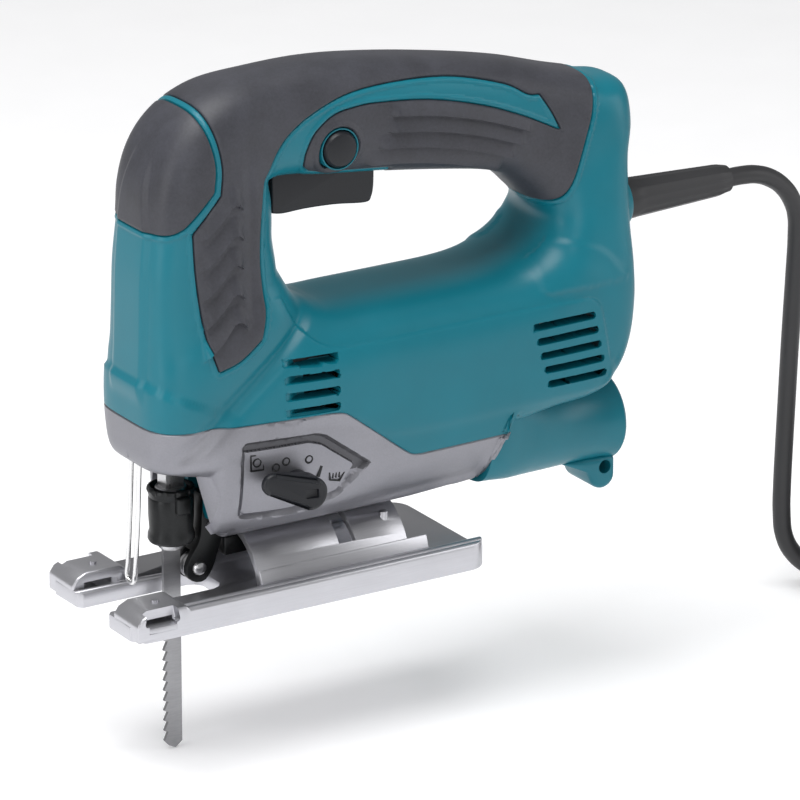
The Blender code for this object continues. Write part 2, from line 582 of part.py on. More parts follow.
def motor():
    z = MOTOR_Z
    turned("armature_shaft", "X", (0, 0, z), [(-31, 0), (-31, 2), (-20.5, 2), (-20.5, 4), (124, 4), (124, 0)],
           "steel", 14)
    toothed("pinion", z, 9, 3.1, 4.0, 2.3, -30.5, -21.5, "steel", 0.5)
    ring("front_bearing", "X", (0, 0, z), 4.3, 11.0, -17, -9.5, "steel", 16)
    fan = ring("cooling_fan", "X", (0, 0, z), 4.3, 25.5, 3, 5, "black", 24)
    for k in range(9):
        turn = Matrix.Translation((0, 0, z * MM)) @ Matrix.Rotation(2 * math.pi * k / 9, 4, "X")
        vane = box(f"cut_vane_{k}", (4, -0.8, 8), (13, 0.8, 25))
        vane.data.transform(turn)
        boolean(fan, vane, "UNION")
    ring("motor_field", "X", (0, 0, z), 17.0, 25.0, 26, 70, "steel", 24)
    ring("armature_core", "X", (0, 0, z), 4.3, 16.0, 27, 69, "copper", 20)
    ring("commutator", "X", (0, 0, z), 4.3, 11.0, 84, 99, "copper", 20)
    ring("rear_bearing", "X", (0, 0, z), 4.3, 9.5, 112, 119, "steel", 16)
    for side, name in ((-1, "left"), (1, "right")):
        ys = sorted((side * 12.5, side * 26))
        holder = box(f"brush_holder_{name}", (86, ys[0], z - 5), (97, ys[1], z + 5), "brass")
        boolean(holder, box(f"cut_brush_{name}", (88.2, -30, z - 2.8), (94.8, 30, z + 2.8)))
        ys = sorted((side * 11.3, side * 23))
        box(f"carbon_brush_{name}", (88.5, ys[0], z - 2.5), (94.5, ys[1], z + 2.5), "black")


def dust_port():
    profile = [(94.9, 12.5), (94.9, 14.2), (120, 16.4), (154, 16.4), (154, 13.2), (122, 13.2), (120, 12.5)]
    tube = turned("dust_port", "X", (0, 0, DUST_Z), profile, "teal", 24)
    tab = [(133, 24.4), (133, 18), (140, 13.5), (147, 13.5), (147, 24.4)]
    boolean(tube, slab("cut_tab", "XZ", tab, -3, 3), "UNION")


def cord_parts():
    z = CORD_Z
    ring("cord_gland", "X", (0, 0, z), 8.6, 12.0, 154.9, 161, "teal", 20)
    profile = [(154.9, 0), (154.9, 8.2), (166, 8.2), (190, 7.2), (212.4, 6.2), (212.4, 0)]
    turned("cord_guard", "X", (0, 0, z), profile, "black", 16)
    wire("power_cord", smooth(CORD_ROUTE, 2.5 * CORD_D), CORD_D / 2, "black", 2)
    half = COIL_HIGH / 2
    profile = [(0, COIL_R - half + 5), (0, COIL_R + half - 5), (5, COIL_R + half), (COIL_HIGH - 5, COIL_R + half),
               (COIL_HIGH, COIL_R + half - 5), (COIL_HIGH, COIL_R - half + 5), (COIL_HIGH - 5, COIL_R - half),
               (5, COIL_R - half)]
    turned("cord_coil", "Z", (*COIL_AT, FLOOR_Z), profile, "black", 36)
    plug()


def smooth(route, step):
    """Points about this far apart on a Catmull-Rom curve through the route."""
    points = [Vector(p) for p in route]
    points = [2 * points[0] - points[1], *points, 2 * points[-1] - points[-2]]
    fine = []
    for a, b, c, d in zip(points, points[1:], points[2:], points[3:], strict=False):
        for k in range(8):
            t = k / 8
            fine.append(0.5 * (2 * b + (c - a) * t + (2 * a - 5 * b + 4 * c - d) * t**2
                               + (3 * b - a - 3 * c + d) * t**3))
    fine.append(points[-2])
    run = np.concatenate([[0], np.cumsum([(b - a).length for a, b in zip(fine, fine[1:], strict=False)])])
    at = np.linspace(0, run[-1], round(run[-1] / step) + 1)
    return [tuple(float(np.interp(s, run, [p[k] for p in fine])) for k in range(3)) for s in at]


def plug():
    """A two-pin moulded plug that lies on the coil, its pins toward the tool."""
    x, y, z = PLUG_AT
    loops = []
    for d, half_y, half_z in ((0, 15.5, 11), (2, 17, 12.5), (22, 17, 12.5), (36, 10, 9), (42, 6.5, 6.5), (60, 5, 5)):
        loop = []
        for k in range(16):
            angle = 2 * math.pi * k / 16
            c, s = math.cos(angle), math.sin(angle)
            loop.append((x + d, y + half_y * math.copysign(abs(c) ** 0.8, c),
                         z + half_z * math.copysign(abs(s) ** 0.8, s)))
        loops.append(loop)
    loft("mains_plug", loops, False, "black")
    for i, side in enumerate((-9.5, 9.5)):
        rod(f"plug_pin_{i + 1}", "X", (x - 19.3, y + side, z), (x - 0.3, y + side, z), 2.4, "brass", 10)


def main():
    clear_scene()
    cutters = make_cutters()
    casings(cutters)
    screws()
    gear_housing(cutters)
    base()
    tilt_clamp()
    plunger_parts()
    blade()
    roller_parts()
    wire_guard()
    lever_and_spindle()
    trigger_and_lock()
    gear_train()
    motor()
    dust_port()
    cord_parts()


main()
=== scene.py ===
# %% [markdown]
# # A corded jigsaw
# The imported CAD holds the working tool. This script makes what the eye sees of it: the moulded casings, the rubber,
# the cast alloy, the pressed base and the cord. It is read from the top, and each step says what it makes and why so.
# Sizes are millimetres, in the CAD's own frame: X runs from the blade to the cord, and the sole is at Z = 0.

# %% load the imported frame
import json
import math

import bmesh
import bpy
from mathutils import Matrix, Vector
import numpy as np


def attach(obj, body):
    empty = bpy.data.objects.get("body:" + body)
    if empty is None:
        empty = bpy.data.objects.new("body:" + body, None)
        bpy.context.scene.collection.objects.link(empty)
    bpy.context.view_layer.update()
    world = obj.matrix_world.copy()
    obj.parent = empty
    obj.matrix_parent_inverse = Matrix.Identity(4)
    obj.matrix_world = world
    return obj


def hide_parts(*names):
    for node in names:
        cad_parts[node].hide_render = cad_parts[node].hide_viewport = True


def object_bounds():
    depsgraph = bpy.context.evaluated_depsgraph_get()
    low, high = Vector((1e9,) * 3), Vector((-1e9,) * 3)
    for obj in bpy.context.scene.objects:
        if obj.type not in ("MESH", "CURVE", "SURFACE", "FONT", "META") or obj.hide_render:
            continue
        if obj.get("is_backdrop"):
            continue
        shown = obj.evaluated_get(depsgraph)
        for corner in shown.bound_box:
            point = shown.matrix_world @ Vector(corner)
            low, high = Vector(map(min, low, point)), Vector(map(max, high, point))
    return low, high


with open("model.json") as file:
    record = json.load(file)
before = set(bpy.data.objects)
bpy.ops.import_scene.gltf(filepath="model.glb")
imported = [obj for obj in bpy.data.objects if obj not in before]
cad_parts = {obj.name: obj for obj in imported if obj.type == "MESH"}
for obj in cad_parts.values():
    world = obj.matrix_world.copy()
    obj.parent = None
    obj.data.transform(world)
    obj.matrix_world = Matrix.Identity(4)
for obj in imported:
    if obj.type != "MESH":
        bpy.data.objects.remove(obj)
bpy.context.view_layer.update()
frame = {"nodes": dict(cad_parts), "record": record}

MM = 0.001
nodes = frame["nodes"]


def placed(name, data):
    """A new object with this data, in the scene."""
    obj = bpy.data.objects.new(name, data)
    bpy.context.scene.collection.objects.link(obj)
    return obj


def only(obj=None):
    """Selects this object and nothing else, in object mode."""
    if bpy.context.mode != "OBJECT":
        bpy.ops.object.mode_set(mode="OBJECT")
    bpy.ops.object.select_all(action="DESELECT")
    if obj:
        obj.select_set(True)
        bpy.context.view_layer.objects.active = obj


# %% [markdown]
# ## The camera, the floor and the light
# A catalogue shows a tool through a long lens, from a little above and in front of its left side. The long lens keeps
# the sides nearly parallel. The light is soft: wide panels above, in front and at both sides, in a pale room.

# %% the camera
CAMERA_AT = Vector((0.0594, 0.0, 0.0624))
CAMERA_WAY = Vector((-0.4966, -0.7978, 0.3420))
CAMERA_FAR = 2.849
LENS = 327.8
camera = placed("camera", bpy.data.cameras.new("camera"))
camera.data.lens = LENS
camera.data.sensor_width = 36.0
camera.location = CAMERA_AT + CAMERA_WAY.normalized() * CAMERA_FAR
camera.rotation_euler = (-CAMERA_WAY).to_track_quat("-Z", "Y").to_euler()
bpy.context.scene.camera = camera
print("camera stands", round(CAMERA_FAR, 2), "m away")

# %% the floor and the lights
FLOOR_Z = -61.5


def panel(name, at, size, power, aim=(0.06, 0, 0.06)):
    """A soft rectangular light, aimed at the tool."""
    light = placed(name, bpy.data.lights.new(name, "AREA"))
    light.data.shape = "RECTANGLE"
    light.data.size, light.data.size_y = size
    light.data.energy = power
    light.location = at
    light.rotation_euler = (Vector(aim) - Vector(at)).to_track_quat("-Z", "Y").to_euler()


only()
bpy.ops.mesh.primitive_plane_add(size=8, location=(0, 0, (FLOOR_Z - 0.1) * MM))
floor = bpy.context.object
floor.name = "floor"
floor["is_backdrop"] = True
panel("light_above", (-0.3, -0.1, 1.5), (1.3, 1.0), 25)
panel("light_left", (-0.5, -1.5, 0.5), (0.7, 1.0), 4)
panel("light_right", (1.4, -0.9, 0.6), (0.5, 1.1), 5)
panel("light_front", (-1.6, -0.1, 0.5), (0.5, 1.0), 7)
bpy.context.scene.view_settings.view_transform = "Standard"
ROOM_LIGHT = 0.31
world = bpy.data.worlds.new("room")
world.use_nodes = True
background = world.node_tree.nodes["Background"]
background.inputs["Color"].default_value = (1.0, 1.0, 1.0, 1)
background.inputs["Strength"].default_value = ROOM_LIGHT
bpy.context.scene.world = world
print("floor at", FLOOR_Z, "mm, and", len(bpy.data.lights), "lights")

# %% [markdown]
# ## Finishes
# Every finish is worked out by nodes from where a point is on the object, so nothing is painted by hand. Shader maths
# is long-winded as nodes, so a small class lets it be written as a sum: `0.4 + mask * 0.3` adds the Math nodes itself.


# %% a socket that takes part in sums, and a finish made of nodes
class Value:
    """A number or colour that a node gives out."""

    def __init__(self, finish, socket):
        self.finish = finish
        self.socket = socket

    def math(self, operation, *others):
        return self.finish.node("ShaderNodeMath", {"operation": operation}, *others)

    def __add__(self, other):
        return self.math("ADD", self, other)

    def __mul__(self, other):
        return self.math("MULTIPLY", self, other)

    def step(self, low, high):
        """0 below low, 1 above high, and straight between."""
        return self.finish.node("ShaderNodeMapRange", {"clamp": True}, self, low, high, 0.0, 1.0)

    __radd__ = __add__
    __rmul__ = __mul__


class Finish:
    """A material: its colour, roughness and metal are set here, and nodes may then vary them."""

    def __init__(self, name, colour, roughness, metallic=0.0, **more):
        self.made = bpy.data.materials.new(name)
        self.made.use_nodes = True
        self.tree = self.made.node_tree
        self.shader = self.tree.nodes["Principled BSDF"]
        self.colour = colour
        self.give("Base Color", (*colour, 1))
        self.give("Roughness", roughness)
        self.give("Metallic", metallic)
        for key, value in more.items():
            self.give(key.replace("_", " ").title().replace("Ior", "IOR"), value)
        self.place = self.node("ShaderNodeTexCoord", {}, out="Object")

    def node(self, kind, settings, *values, out=0, **named):
        """Adds a node: settings are set first, then values or links go to its sockets in order, or by name."""
        node = self.tree.nodes.new(kind)
        for key, value in settings.items():
            setattr(node, key, value)
        for key, value in [*enumerate(values), *named.items()]:
            self.join(node.inputs[key], value)
        return Value(self, node.outputs[out])

    def join(self, socket, value):
        if isinstance(value, Value):
            self.tree.links.new(value.socket, socket)
        else:
            socket.default_value = value

    def give(self, name, value):
        self.join(self.shader.inputs[name], value)

    def stretched(self, scale):
        """Object coordinates, pulled out along the axes whose scale is small."""
        return self.node("ShaderNodeMapping", {}, self.place, Scale=scale)

    def noise(self, scale, detail=4.0, roughness=0.6, place=None):
        return self.node("ShaderNodeTexNoise", {}, Vector=place or self.place, Scale=scale, Detail=detail,
                         Roughness=roughness)

    def blend(self, amount, first, second):
        """A colour between two."""
        node = self.tree.nodes.new("ShaderNodeMix")
        node.data_type = "RGBA"
        for key, value in ((0, amount), (6, first), (7, second)):
            self.join(node.inputs[key], value)
        return Value(self, node.outputs[2])

    def bump(self, height, strength, distance):
        """Relief this many millimetres high."""
        self.give("Normal", self.node("ShaderNodeBump", {}, Height=height, Strength=strength,
                                      Distance=distance * MM))

    def shades(self, amount, darker, lighter):
        """Varies the finish's own colour between two shares of itself."""
        low, high = ([c * s for c in self.colour] + [1] for s in (darker, lighter))
        self.give("Base Color", self.blend(amount, low, high))


# %% [markdown]
# Moulded plastic is not flat: the mould is spark-eroded, so the surface has a grain of about a third of a
# millimetre, and handling polishes it in patches. Rubber is duller, with coarser mottling. Cast alloy has both a
# grain and soft cloudy tones. Rolled and ground steel has fine lines that run one way.


# %% plastics and rubber
def moulded(name, colour, roughness, grain, patches=0.1, **more):
    finish = Finish(name, colour, roughness, **more)
    cloud = finish.noise(28.0, 3.0)
    fine = finish.noise(2600.0, 2.0)
    finish.shades(cloud.step(0.3, 0.7), 1 - patches, 1 + patches)
    finish.give("Roughness", roughness - 0.05 + cloud * 0.10 + fine * 0.04)
    finish.bump(fine, grain, 0.05)
    return finish


def mottled(name, colour, roughness, **more):
    """Soft rubber: light mottled patches over a dark ground, partly its own mottling and partly a painted sheen."""
    finish = Finish(name, colour, roughness, **more)
    cloud = finish.noise(55.0, 6.0, 0.65)
    fleck = finish.noise(900.0, 3.0, 0.7)
    fine = finish.noise(3200.0, 2.0)
    # lighter mottled patches: the rubber's own mottling, with a painted sheen in it
    finish.shades((cloud * 0.6 + fleck * 0.4).step(0.35, 0.68), 0.72, 1.42)
    finish.give("Roughness", roughness - 0.08 + cloud * 0.2)
    finish.bump(fleck * 0.5 + fine * 0.5, 0.5, 0.08)
    return finish


TEAL = moulded("teal_plastic", (0.0025, 0.142, 0.190), 0.34, 0.30, 0.05, specular_ior_level=0.35)
RUBBER = mottled("soft_rubber", (0.030, 0.031, 0.040), 0.50, sheen_weight=0.05, sheen_roughness=0.5)
BLACK = moulded("black_plastic", (0.009, 0.010, 0.013), 0.38, 0.4, 0.15, specular_ior_level=0.35)
PVC = moulded("cord_pvc", (0.020, 0.020, 0.022), 0.45, 0.25, 0.12)
CARBON = moulded("carbon", (0.03, 0.03, 0.03), 0.7, 0.5)
print("plastics and rubber:", [f.made.name for f in (TEAL, RUBBER, BLACK, PVC, CARBON)])


# %% metals
def metal(name, colour, roughness, scale, relief, metallic=1.0, tones=0.10):
    """Metal whose grain is stretched along the axes where scale is small."""
    finish = Finish(name, colour, roughness, metallic)
    lines = finish.noise(1.0, 3.0, 0.6, finish.stretched(scale))
    cloud = finish.noise(40.0, 4.0)
    finish.shades((lines * 0.5 + cloud * 0.5).step(0.3, 0.7), 1 - tones, 1 + tones)
    finish.give("Roughness", roughness - 0.07 + lines * 0.10 + cloud * 0.06)
    finish.bump(lines, 0.5, relief)
    return finish


ALLOY = metal("cast_alloy", (0.255, 0.255, 0.28), 0.42, (1300, 1300, 1300), 0.10, 0.85, 0.09)
# a darker copy of the alloy: painted shade for the recess round the icon plate
SHADED = metal("painted_recess_shade", (0.10, 0.10, 0.11), 0.5, (1300, 1300, 1300), 0.10, 0.6, 0.09)
PRESSED = metal("pressed_base", (0.52, 0.52, 0.55), 0.32, (60, 2200, 2200), 0.03, 0.9, 0.07)
STEEL = metal("bright_steel", (0.56, 0.56, 0.57), 0.28, (2000, 2000, 120), 0.02, 1.0, 0.08)
WIRE = metal("sprung_wire", (0.72, 0.72, 0.72), 0.2, (900, 900, 60), 0.01, 1.0, 0.05)
BLADE = metal("blade_steel", (0.30, 0.30, 0.31), 0.36, (260, 2000, 1800), 0.02, 0.9, 0.12)
BLACKED = metal("blacked_steel", (0.013, 0.014, 0.015), 0.36, (900, 900, 900), 0.06, 0.5, 0.3)
COPPER = metal("copper", (0.70, 0.30, 0.16), 0.32, (1500, 1500, 100), 0.03)
BRASS = metal("brass", (0.68, 0.50, 0.22), 0.3, (1500, 1500, 100), 0.02)
print("metals:", [f.made.name for f in (ALLOY, SHADED, PRESSED, STEEL, WIRE, BLADE, BLACKED, COPPER, BRASS)])

# %% the floor's paper
PAPER = moulded("pale_paper", (0.92, 0.92, 0.93), 0.9, 0.05, 0.01, emission_color=(1, 1, 1, 1),
                emission_strength=0.16)
floor.data.materials.append(PAPER.made)
print("floor finish:", PAPER.made.name)

# %% [markdown]
# ## Small helpers for making pieces
# Most pieces start as one primitive that is shaped in edit mode, as by hand. A few helpers say it in one line: start
# a block, a drum, an outline or a turned profile, round it, cut it with another piece or join one to it.


# %% start, shape and finish a piece
def finished(obj, body, slot, finish, *replaced, angle=32):
    """Gives a piece its finish, its smooth shading and its body; its slot is not used."""
    only(obj)
    bpy.ops.object.transform_apply(location=True, rotation=True, scale=True)
    bpy.ops.object.shade_smooth_by_angle(angle=math.radians(angle))
    obj.data.materials.clear()
    obj.data.materials.append(finish.made)
    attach(obj, body)
    if replaced:
        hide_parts(*replaced)
    print(obj.name, "rides on", body, "with", len(obj.data.polygons), "faces")
    return obj


def new_piece(name):
    """Names the primitive that was just added, and puts its place into its mesh."""
    obj = bpy.context.object
    obj.name = name
    bpy.ops.object.transform_apply(location=True, rotation=True, scale=True)
    return obj


def block(name, low, high):
    """A box between two corners."""
    only()
    low, high = Vector(low) * MM, Vector(high) * MM
    bpy.ops.mesh.primitive_cube_add(size=1, location=(low + high) / 2, scale=high - low)
    return new_piece(name)


AXIS_TURN = {"X": (0, math.pi / 2, 0), "Y": (math.pi / 2, 0, 0), "Z": (0, 0, 0)}


def drum(name, axis, at, low, high, radius, sides=48):
    """A cylinder along an axis; at is its middle, whose coordinate on the axis is ignored."""
    only()
    middle = Vector(at)
    middle["XYZ".index(axis)] = (low + high) / 2
    bpy.ops.mesh.primitive_cone_add(vertices=sides, radius1=radius * MM, radius2=radius * MM,
                                    depth=(high - low) * MM, location=middle * MM, rotation=AXIS_TURN[axis])
    return new_piece(name)


def modify(obj, kind, **settings):
    """Adds a modifier and applies it."""
    only(obj)
    modifier = obj.modifiers.new(kind.lower(), kind)
    for key, value in settings.items():
        setattr(modifier, key, value)
    bpy.ops.object.modifier_apply(modifier=modifier.name)
    return obj


def rounded(obj, width, segments=3, angle=30):
    return modify(obj, "BEVEL", width=width * MM, segments=segments, limit_method="ANGLE",
                  angle_limit=math.radians(angle), harden_normals=False, use_clamp_overlap=True)


def cut(obj, *cutters, operation="DIFFERENCE"):
    for cutter in cutters:
        modify(obj, "BOOLEAN", object=cutter, operation=operation, solver="EXACT")
        bpy.data.objects.remove(cutter)
    return obj


def add(obj, *others):
    return cut(obj, *others, operation="UNION")


def closed(obj):
    """Turns the faces of a closed piece outwards, from edit mode, and leaves it."""
    bpy.ops.mesh.select_all(action="SELECT")
    bpy.ops.mesh.normals_make_consistent(inside=False)
    bpy.ops.object.mode_set(mode="OBJECT")
    return obj


def outline(name, plane, points, low, high):
    """A flat outline pulled out into a solid: XZ runs along Y, XY along Z and YZ along X."""
    only()
    bpy.ops.mesh.primitive_circle_add(vertices=len(points), radius=1, fill_type="NGON")
    obj = bpy.context.object
    obj.name = name
    first, second = (Vector([float(letter == c) for c in "XYZ"]) for letter in plane)
    along = Vector([float(c not in plane) for c in "XYZ"])
    for vertex, (a, b) in zip(obj.data.vertices, points, strict=True):
        vertex.co = (first * a + second * b + along * low) * MM
    bpy.ops.object.mode_set(mode="EDIT")
    bpy.ops.mesh.select_all(action="SELECT")
    bpy.ops.mesh.extrude_region_move(TRANSFORM_OT_translate={"value": along * (high - low) * MM})
    return closed(obj)


def turned(name, axis, at, profile, sides=64):
    """A turned piece: the profile is (along the axis, radius), and closes on itself where it leaves the axis."""
    hollow = min(r for _, r in profile) > 0
    count = len(profile)
    mesh = bpy.data.meshes.new(name)
    ends = [(i, (i + 1) % count) for i in range(count if hollow else count - 1)]
    mesh.from_pydata([(r * MM, 0, h * MM) for h, r in profile], ends, [])
    obj = placed(name, mesh)
    modify(obj, "SCREW", steps=sides, render_steps=sides, use_merge_vertices=True, merge_threshold=1e-6)
    obj.rotation_euler = (-math.pi / 2, 0, 0) if axis == "Y" else AXIS_TURN[axis]
    obj.location = Vector(at) * MM
    only(obj)
    bpy.ops.object.transform_apply(location=True, rotation=True, scale=True)
    bpy.ops.object.mode_set(mode="EDIT")
    return closed(obj)


def arc(x, z, radius, start, end, steps):
    """Points on a circle, from one angle in degrees to another."""
    return [(x + radius * math.cos(math.radians(start + (end - start) * k / steps)),
             z + radius * math.sin(math.radians(start + (end - start) * k / steps))) for k in range(steps + 1)]


print("helpers are ready")

# %% [markdown]
# ## The moulded body
# The casings, the rubber grips, the nose cap and the top of the alloy housing share one flowing surface. It is a ring
# round the hand hole: a rounded section is swept from the nose up the front column, over the handle, down the rear
# and back along the motor. Blender could bridge such a ring by hand, but its sections are easier to state as a table
# of where they stand and how square they are, so the surface is worked out and then cut into pieces.

# %% the ring of sections
# outer (x, z), inner (x, z), half width, and how square the section is on its outer and its hole side
STATIONS = [
    (-61.5, 62.0, 8.0, 118.0, 25.5, 4.4, 3), (-62.6, 70.0, 5.0, 120.0, 27.0, 4.4, 3),
    (-62.8, 84.0, 2.0, 124.0, 27.6, 4.4, 3), (-62.4, 98.0, -1.0, 129.0, 26.5, 4.4, 3),
    (-62.0, 106.0, -3.0, 133.0, 25.0, 4.4, 3), (-61.6, 120.0, -3.6, 138.0, 24.0, 4.5, 3),
    (-61.0, 138.0, -4.8, 146.0, 23.5, 4.5, 3), (-59.4, 156.0, -4.9, 154.0, 23.5, 4, 3),
    (-58.3, 169.0, -5.4, 161.0, 23.5, 4, 3), (-55.0, 181.0, -6.2, 165.0, 23.0, 4, 3),
    (-49.5, 191.5, -6.4, 167.5, 22.5, 3.5, 3), (-41.0, 200.0, -3.5, 168.0, 22.0, 3, 3),
    (-27.0, 206.0, 0.0, 167.5, 20.5, 3, 3), (-8.0, 208.6, 9.0, 166.0, 19.0, 2.6, 2.8),
    (18.0, 209.0, 22.0, 164.0, 18.5, 2.6, 2.8), (45.0, 206.3, 47.0, 161.0, 18.5, 2.6, 2.8),
    (77.0, 201.0, 74.0, 157.0, 18.5, 2.6, 2.8), (105.0, 195.0, 93.0, 153.5, 18.5, 2.6, 2.8),
    (128.0, 188.0, 101.0, 150.5, 19.0, 2.8, 2.8), (144.0, 183.5, 106.0, 146.5, 20.0, 3, 2.8),
    (156.0, 180.0, 110.0, 142.5, 21.0, 3, 2.8), (158.0, 168.0, 114.0, 138.5, 22.0, 3.5, 2.8),
    (155.0, 154.0, 117.0, 134.0, 23.5, 4, 2.8), (154.5, 140.0, 117.5, 130.0, 25.0, 4, 2.8),
    (154.5, 125.0, 116.0, 126.0, 27.0, 4, 3), (154.5, 108.0, 113.0, 122.0, 29.0, 5, 3),
    (154.0, 94.0, 108.5, 119.0, 31.0, 5, 3), (151.5, 78.0, 103.0, 117.0, 32.0, 5, 3.2),
    (146.0, 66.0, 97.0, 115.5, 32.5, 5, 3.2), (134.0, 58.5, 90.0, 114.5, 33.0, 6, 3.2),
    (115.0, 56.2, 81.0, 114.0, 33.0, 6, 3.2), (92.0, 53.0, 70.0, 114.0, 33.0, 6, 3.2),
    (70.0, 52.0, 58.0, 114.0, 33.0, 6, 3.2), (45.0, 52.0, 45.0, 114.0, 33.0, 6, 3.2),
    (20.0, 52.0, 33.0, 114.0, 33.0, 6, 3.2), (0.0, 52.0, 24.0, 114.0, 32.5, 6, 3.2),
    (-20.0, 53.0, 18.0, 114.5, 31.5, 6, 3.2), (-38.0, 57.0, 14.0, 115.5, 30.0, 6, 3.2),
    (-54.0, 60.0, 11.0, 116.5, 28.5, 6, 3.2),
]
RING = 420
LOWER, UPPER = 46, 54  # points on half a section, below and above its shoulder
SHOULDER = 0.72


def round_the_ring(rows, count):
    """The rows joined by a smooth closed curve, at evenly spaced places."""
    rows = np.array(rows, float)
    ahead = np.roll(rows, -1, 0)
    mean = (rows[:, :2] + rows[:, 2:4]) / 2 + (rows[:, :2] - rows[:, 2:4]) * 0.25
    gap = np.linalg.norm(np.roll(mean, -1, 0) - mean, axis=1)
    slope = (ahead - np.roll(rows, 1, 0)) / (gap + np.roll(gap, 1))[:, None]
    start = np.concatenate([[0], np.cumsum(gap)])
    made = []
    for run in np.linspace(0, start[-1], count, endpoint=False):
        i = int(np.searchsorted(start, run, "right")) - 1
        t = (run - start[i]) / gap[i]
        j = (i + 1) % len(rows)
        made.append(rows[i] * (2 * t**3 - 3 * t**2 + 1) + slope[i] * gap[i] * (t**3 - 2 * t**2 + t)
                    + rows[j] * (3 * t**2 - 2 * t**3) + slope[j] * gap[i] * (t**3 - t**2))
    return made


def smooth_step(values, low, high):
    t = np.clip((values - low) / (high - low), 0, 1)
    return t * t * (3 - 2 * t)


# %% the foot under the body, which is pulled down out of the same surface
SADDLE_R, TILT_Z = 26.0, 3.0
BASE_REACH = 36.4  # how far the base's rails are from its tilt axis
FOOT_X = (-42.0, 49.5)


def underside(y):
    """The lowest height the foot may have at this y, so that the base can tilt 45 degrees either way below it."""
    y = np.abs(y)
    over_saddle = TILT_Z + np.sqrt(np.maximum((SADDLE_R + 0.6) ** 2 - y**2, 0))
    over_rails = TILT_Z + np.sqrt(np.maximum(BASE_REACH**2 - y**2, 0))
    return np.where(y < 14.2, over_saddle, np.where(y < 19.6, np.interp(y, [14.2, 19.6], [25.5, 33.7]), over_rails))


def behind(z):
    """Where the slanted rear end of the alloy is at this height."""
    return np.interp(z, [31, 35, 54, 62], [80.0, 83.0, 90.5, 94.0])


def with_foot(points):
    """Pulls the lower edge of the alloy housing down to the saddle, and draws it in on the way."""
    x, y, z = points.T.copy()
    depth = np.clip((62 - z) / np.maximum(62 - z.min(), 1), 0, 1)
    bottom = np.interp(x, [FOOT_X[1] - 8, 80], [27.6, 30.2])
    goal = 62 - depth * (62 - bottom)
    front = FOOT_X[0] + 3.4 * (1 - depth)
    rear = behind(goal)
    share = smooth_step(x, front, front + 2.6) * (1 - smooth_step(x, rear, rear + 2.2))
    low = z - np.where(z < 62, share * np.maximum(z - goal, 0), 0)
    narrow = np.interp(low, [27, 30, 38, 46, 54, 62], [0.16, 0.10, 0.04, 0.015, 0.003, 0])
    y = y * (1 - share * narrow)
    low = np.where(share > 0.5, np.maximum(low, np.minimum(underside(y), z)), low)
    return np.stack([x, y, low], 1)


def half_section(row):
    """Half of one section, from its outermost point to its innermost, as points evenly spaced in two stretches."""
    outer, inner = np.array([row[0], row[1]]), np.array([row[2], row[3]])
    middle, along = (outer + inner) / 2, outer - inner
    reach = np.linalg.norm(along) / 2
    along = along / np.linalg.norm(along)
    angle = np.linspace(0, math.pi, 1400)
    c, s = np.cos(angle), np.sin(angle)
    power = 2 / np.where(c > 0, row[5], row[6])
    up = np.sign(c) * np.abs(c) ** power
    across = np.abs(s) ** power * row[4]
    across[[0, -1]] = 0
    flat = middle + along * (up * reach)[:, None]
    points = with_foot(np.stack([flat[:, 0], -across, flat[:, 1]], 1))
    split = int(np.argmax(up < SHOULDER))
    made = []
    for part, count in ((points[:split + 1], LOWER), (points[split:], UPPER)):
        run = np.concatenate([[0], np.cumsum(np.linalg.norm(np.diff(part, axis=0), axis=1))])
        at = np.linspace(0, run[-1], count, endpoint=False)
        made.append(np.stack([np.interp(at, run, part[:, k]) for k in range(3)], 1))
    return np.concatenate([*made, points[-1:]])


def ring_surface():
    """The whole surface as one bmesh of quads, in millimetres."""
    bm = bmesh.new()
    rows = []
    for row in round_the_ring(STATIONS, RING):
        half = half_section(row)
        other = half[1:-1][::-1] * (1, -1, 1)
        rows.append([bm.verts.new(p) for p in np.concatenate([half, other])])
    count = len(rows[0])
    for a, b in zip(rows, rows[1:] + rows[:1], strict=True):
        for i in range(count):
            j = (i + 1) % count
            bm.faces.new((a[i], a[j], b[j], b[i]))
    bmesh.ops.recalc_face_normals(bm, faces=bm.faces)
    return bm


skin = ring_surface()
print("body surface:", len(skin.verts), "points")

# %% [markdown]
# ## The lines on the body
# Rubber, plastic and alloy meet along lines seen from the side, and so do the vents, the chevrons and the ribs. Each
# line is a 2-D outline. The distance to it, positive inside, is worked out for every point of the surface; where it
# passes through zero an edge is cut, so the line is crisp without a fine mesh everywhere.


# %% outlines and distances
def flowing(*stretches, step=1.2):
    """An outline of smooth stretches, each through its own points; they meet in corners."""
    made = []
    for stretch in stretches:
        points = [np.array(p, float) for p in stretch]
        if len(points) == 2:
            made.append(points[0])
            continue
        points = [2 * points[0] - points[1], *points, 2 * points[-1] - points[-2]]
        for a, b, c, d in zip(points, points[1:], points[2:], points[3:], strict=False):
            count = max(2, round(np.linalg.norm(c - b) / step))
            for t in np.arange(count) / count:
                made.append(0.5 * (2 * b + (c - a) * t + (2 * a - 5 * b + 4 * c - d) * t**2
                                   + (3 * b - a - 3 * c + d) * t**3))
    return np.array(made)


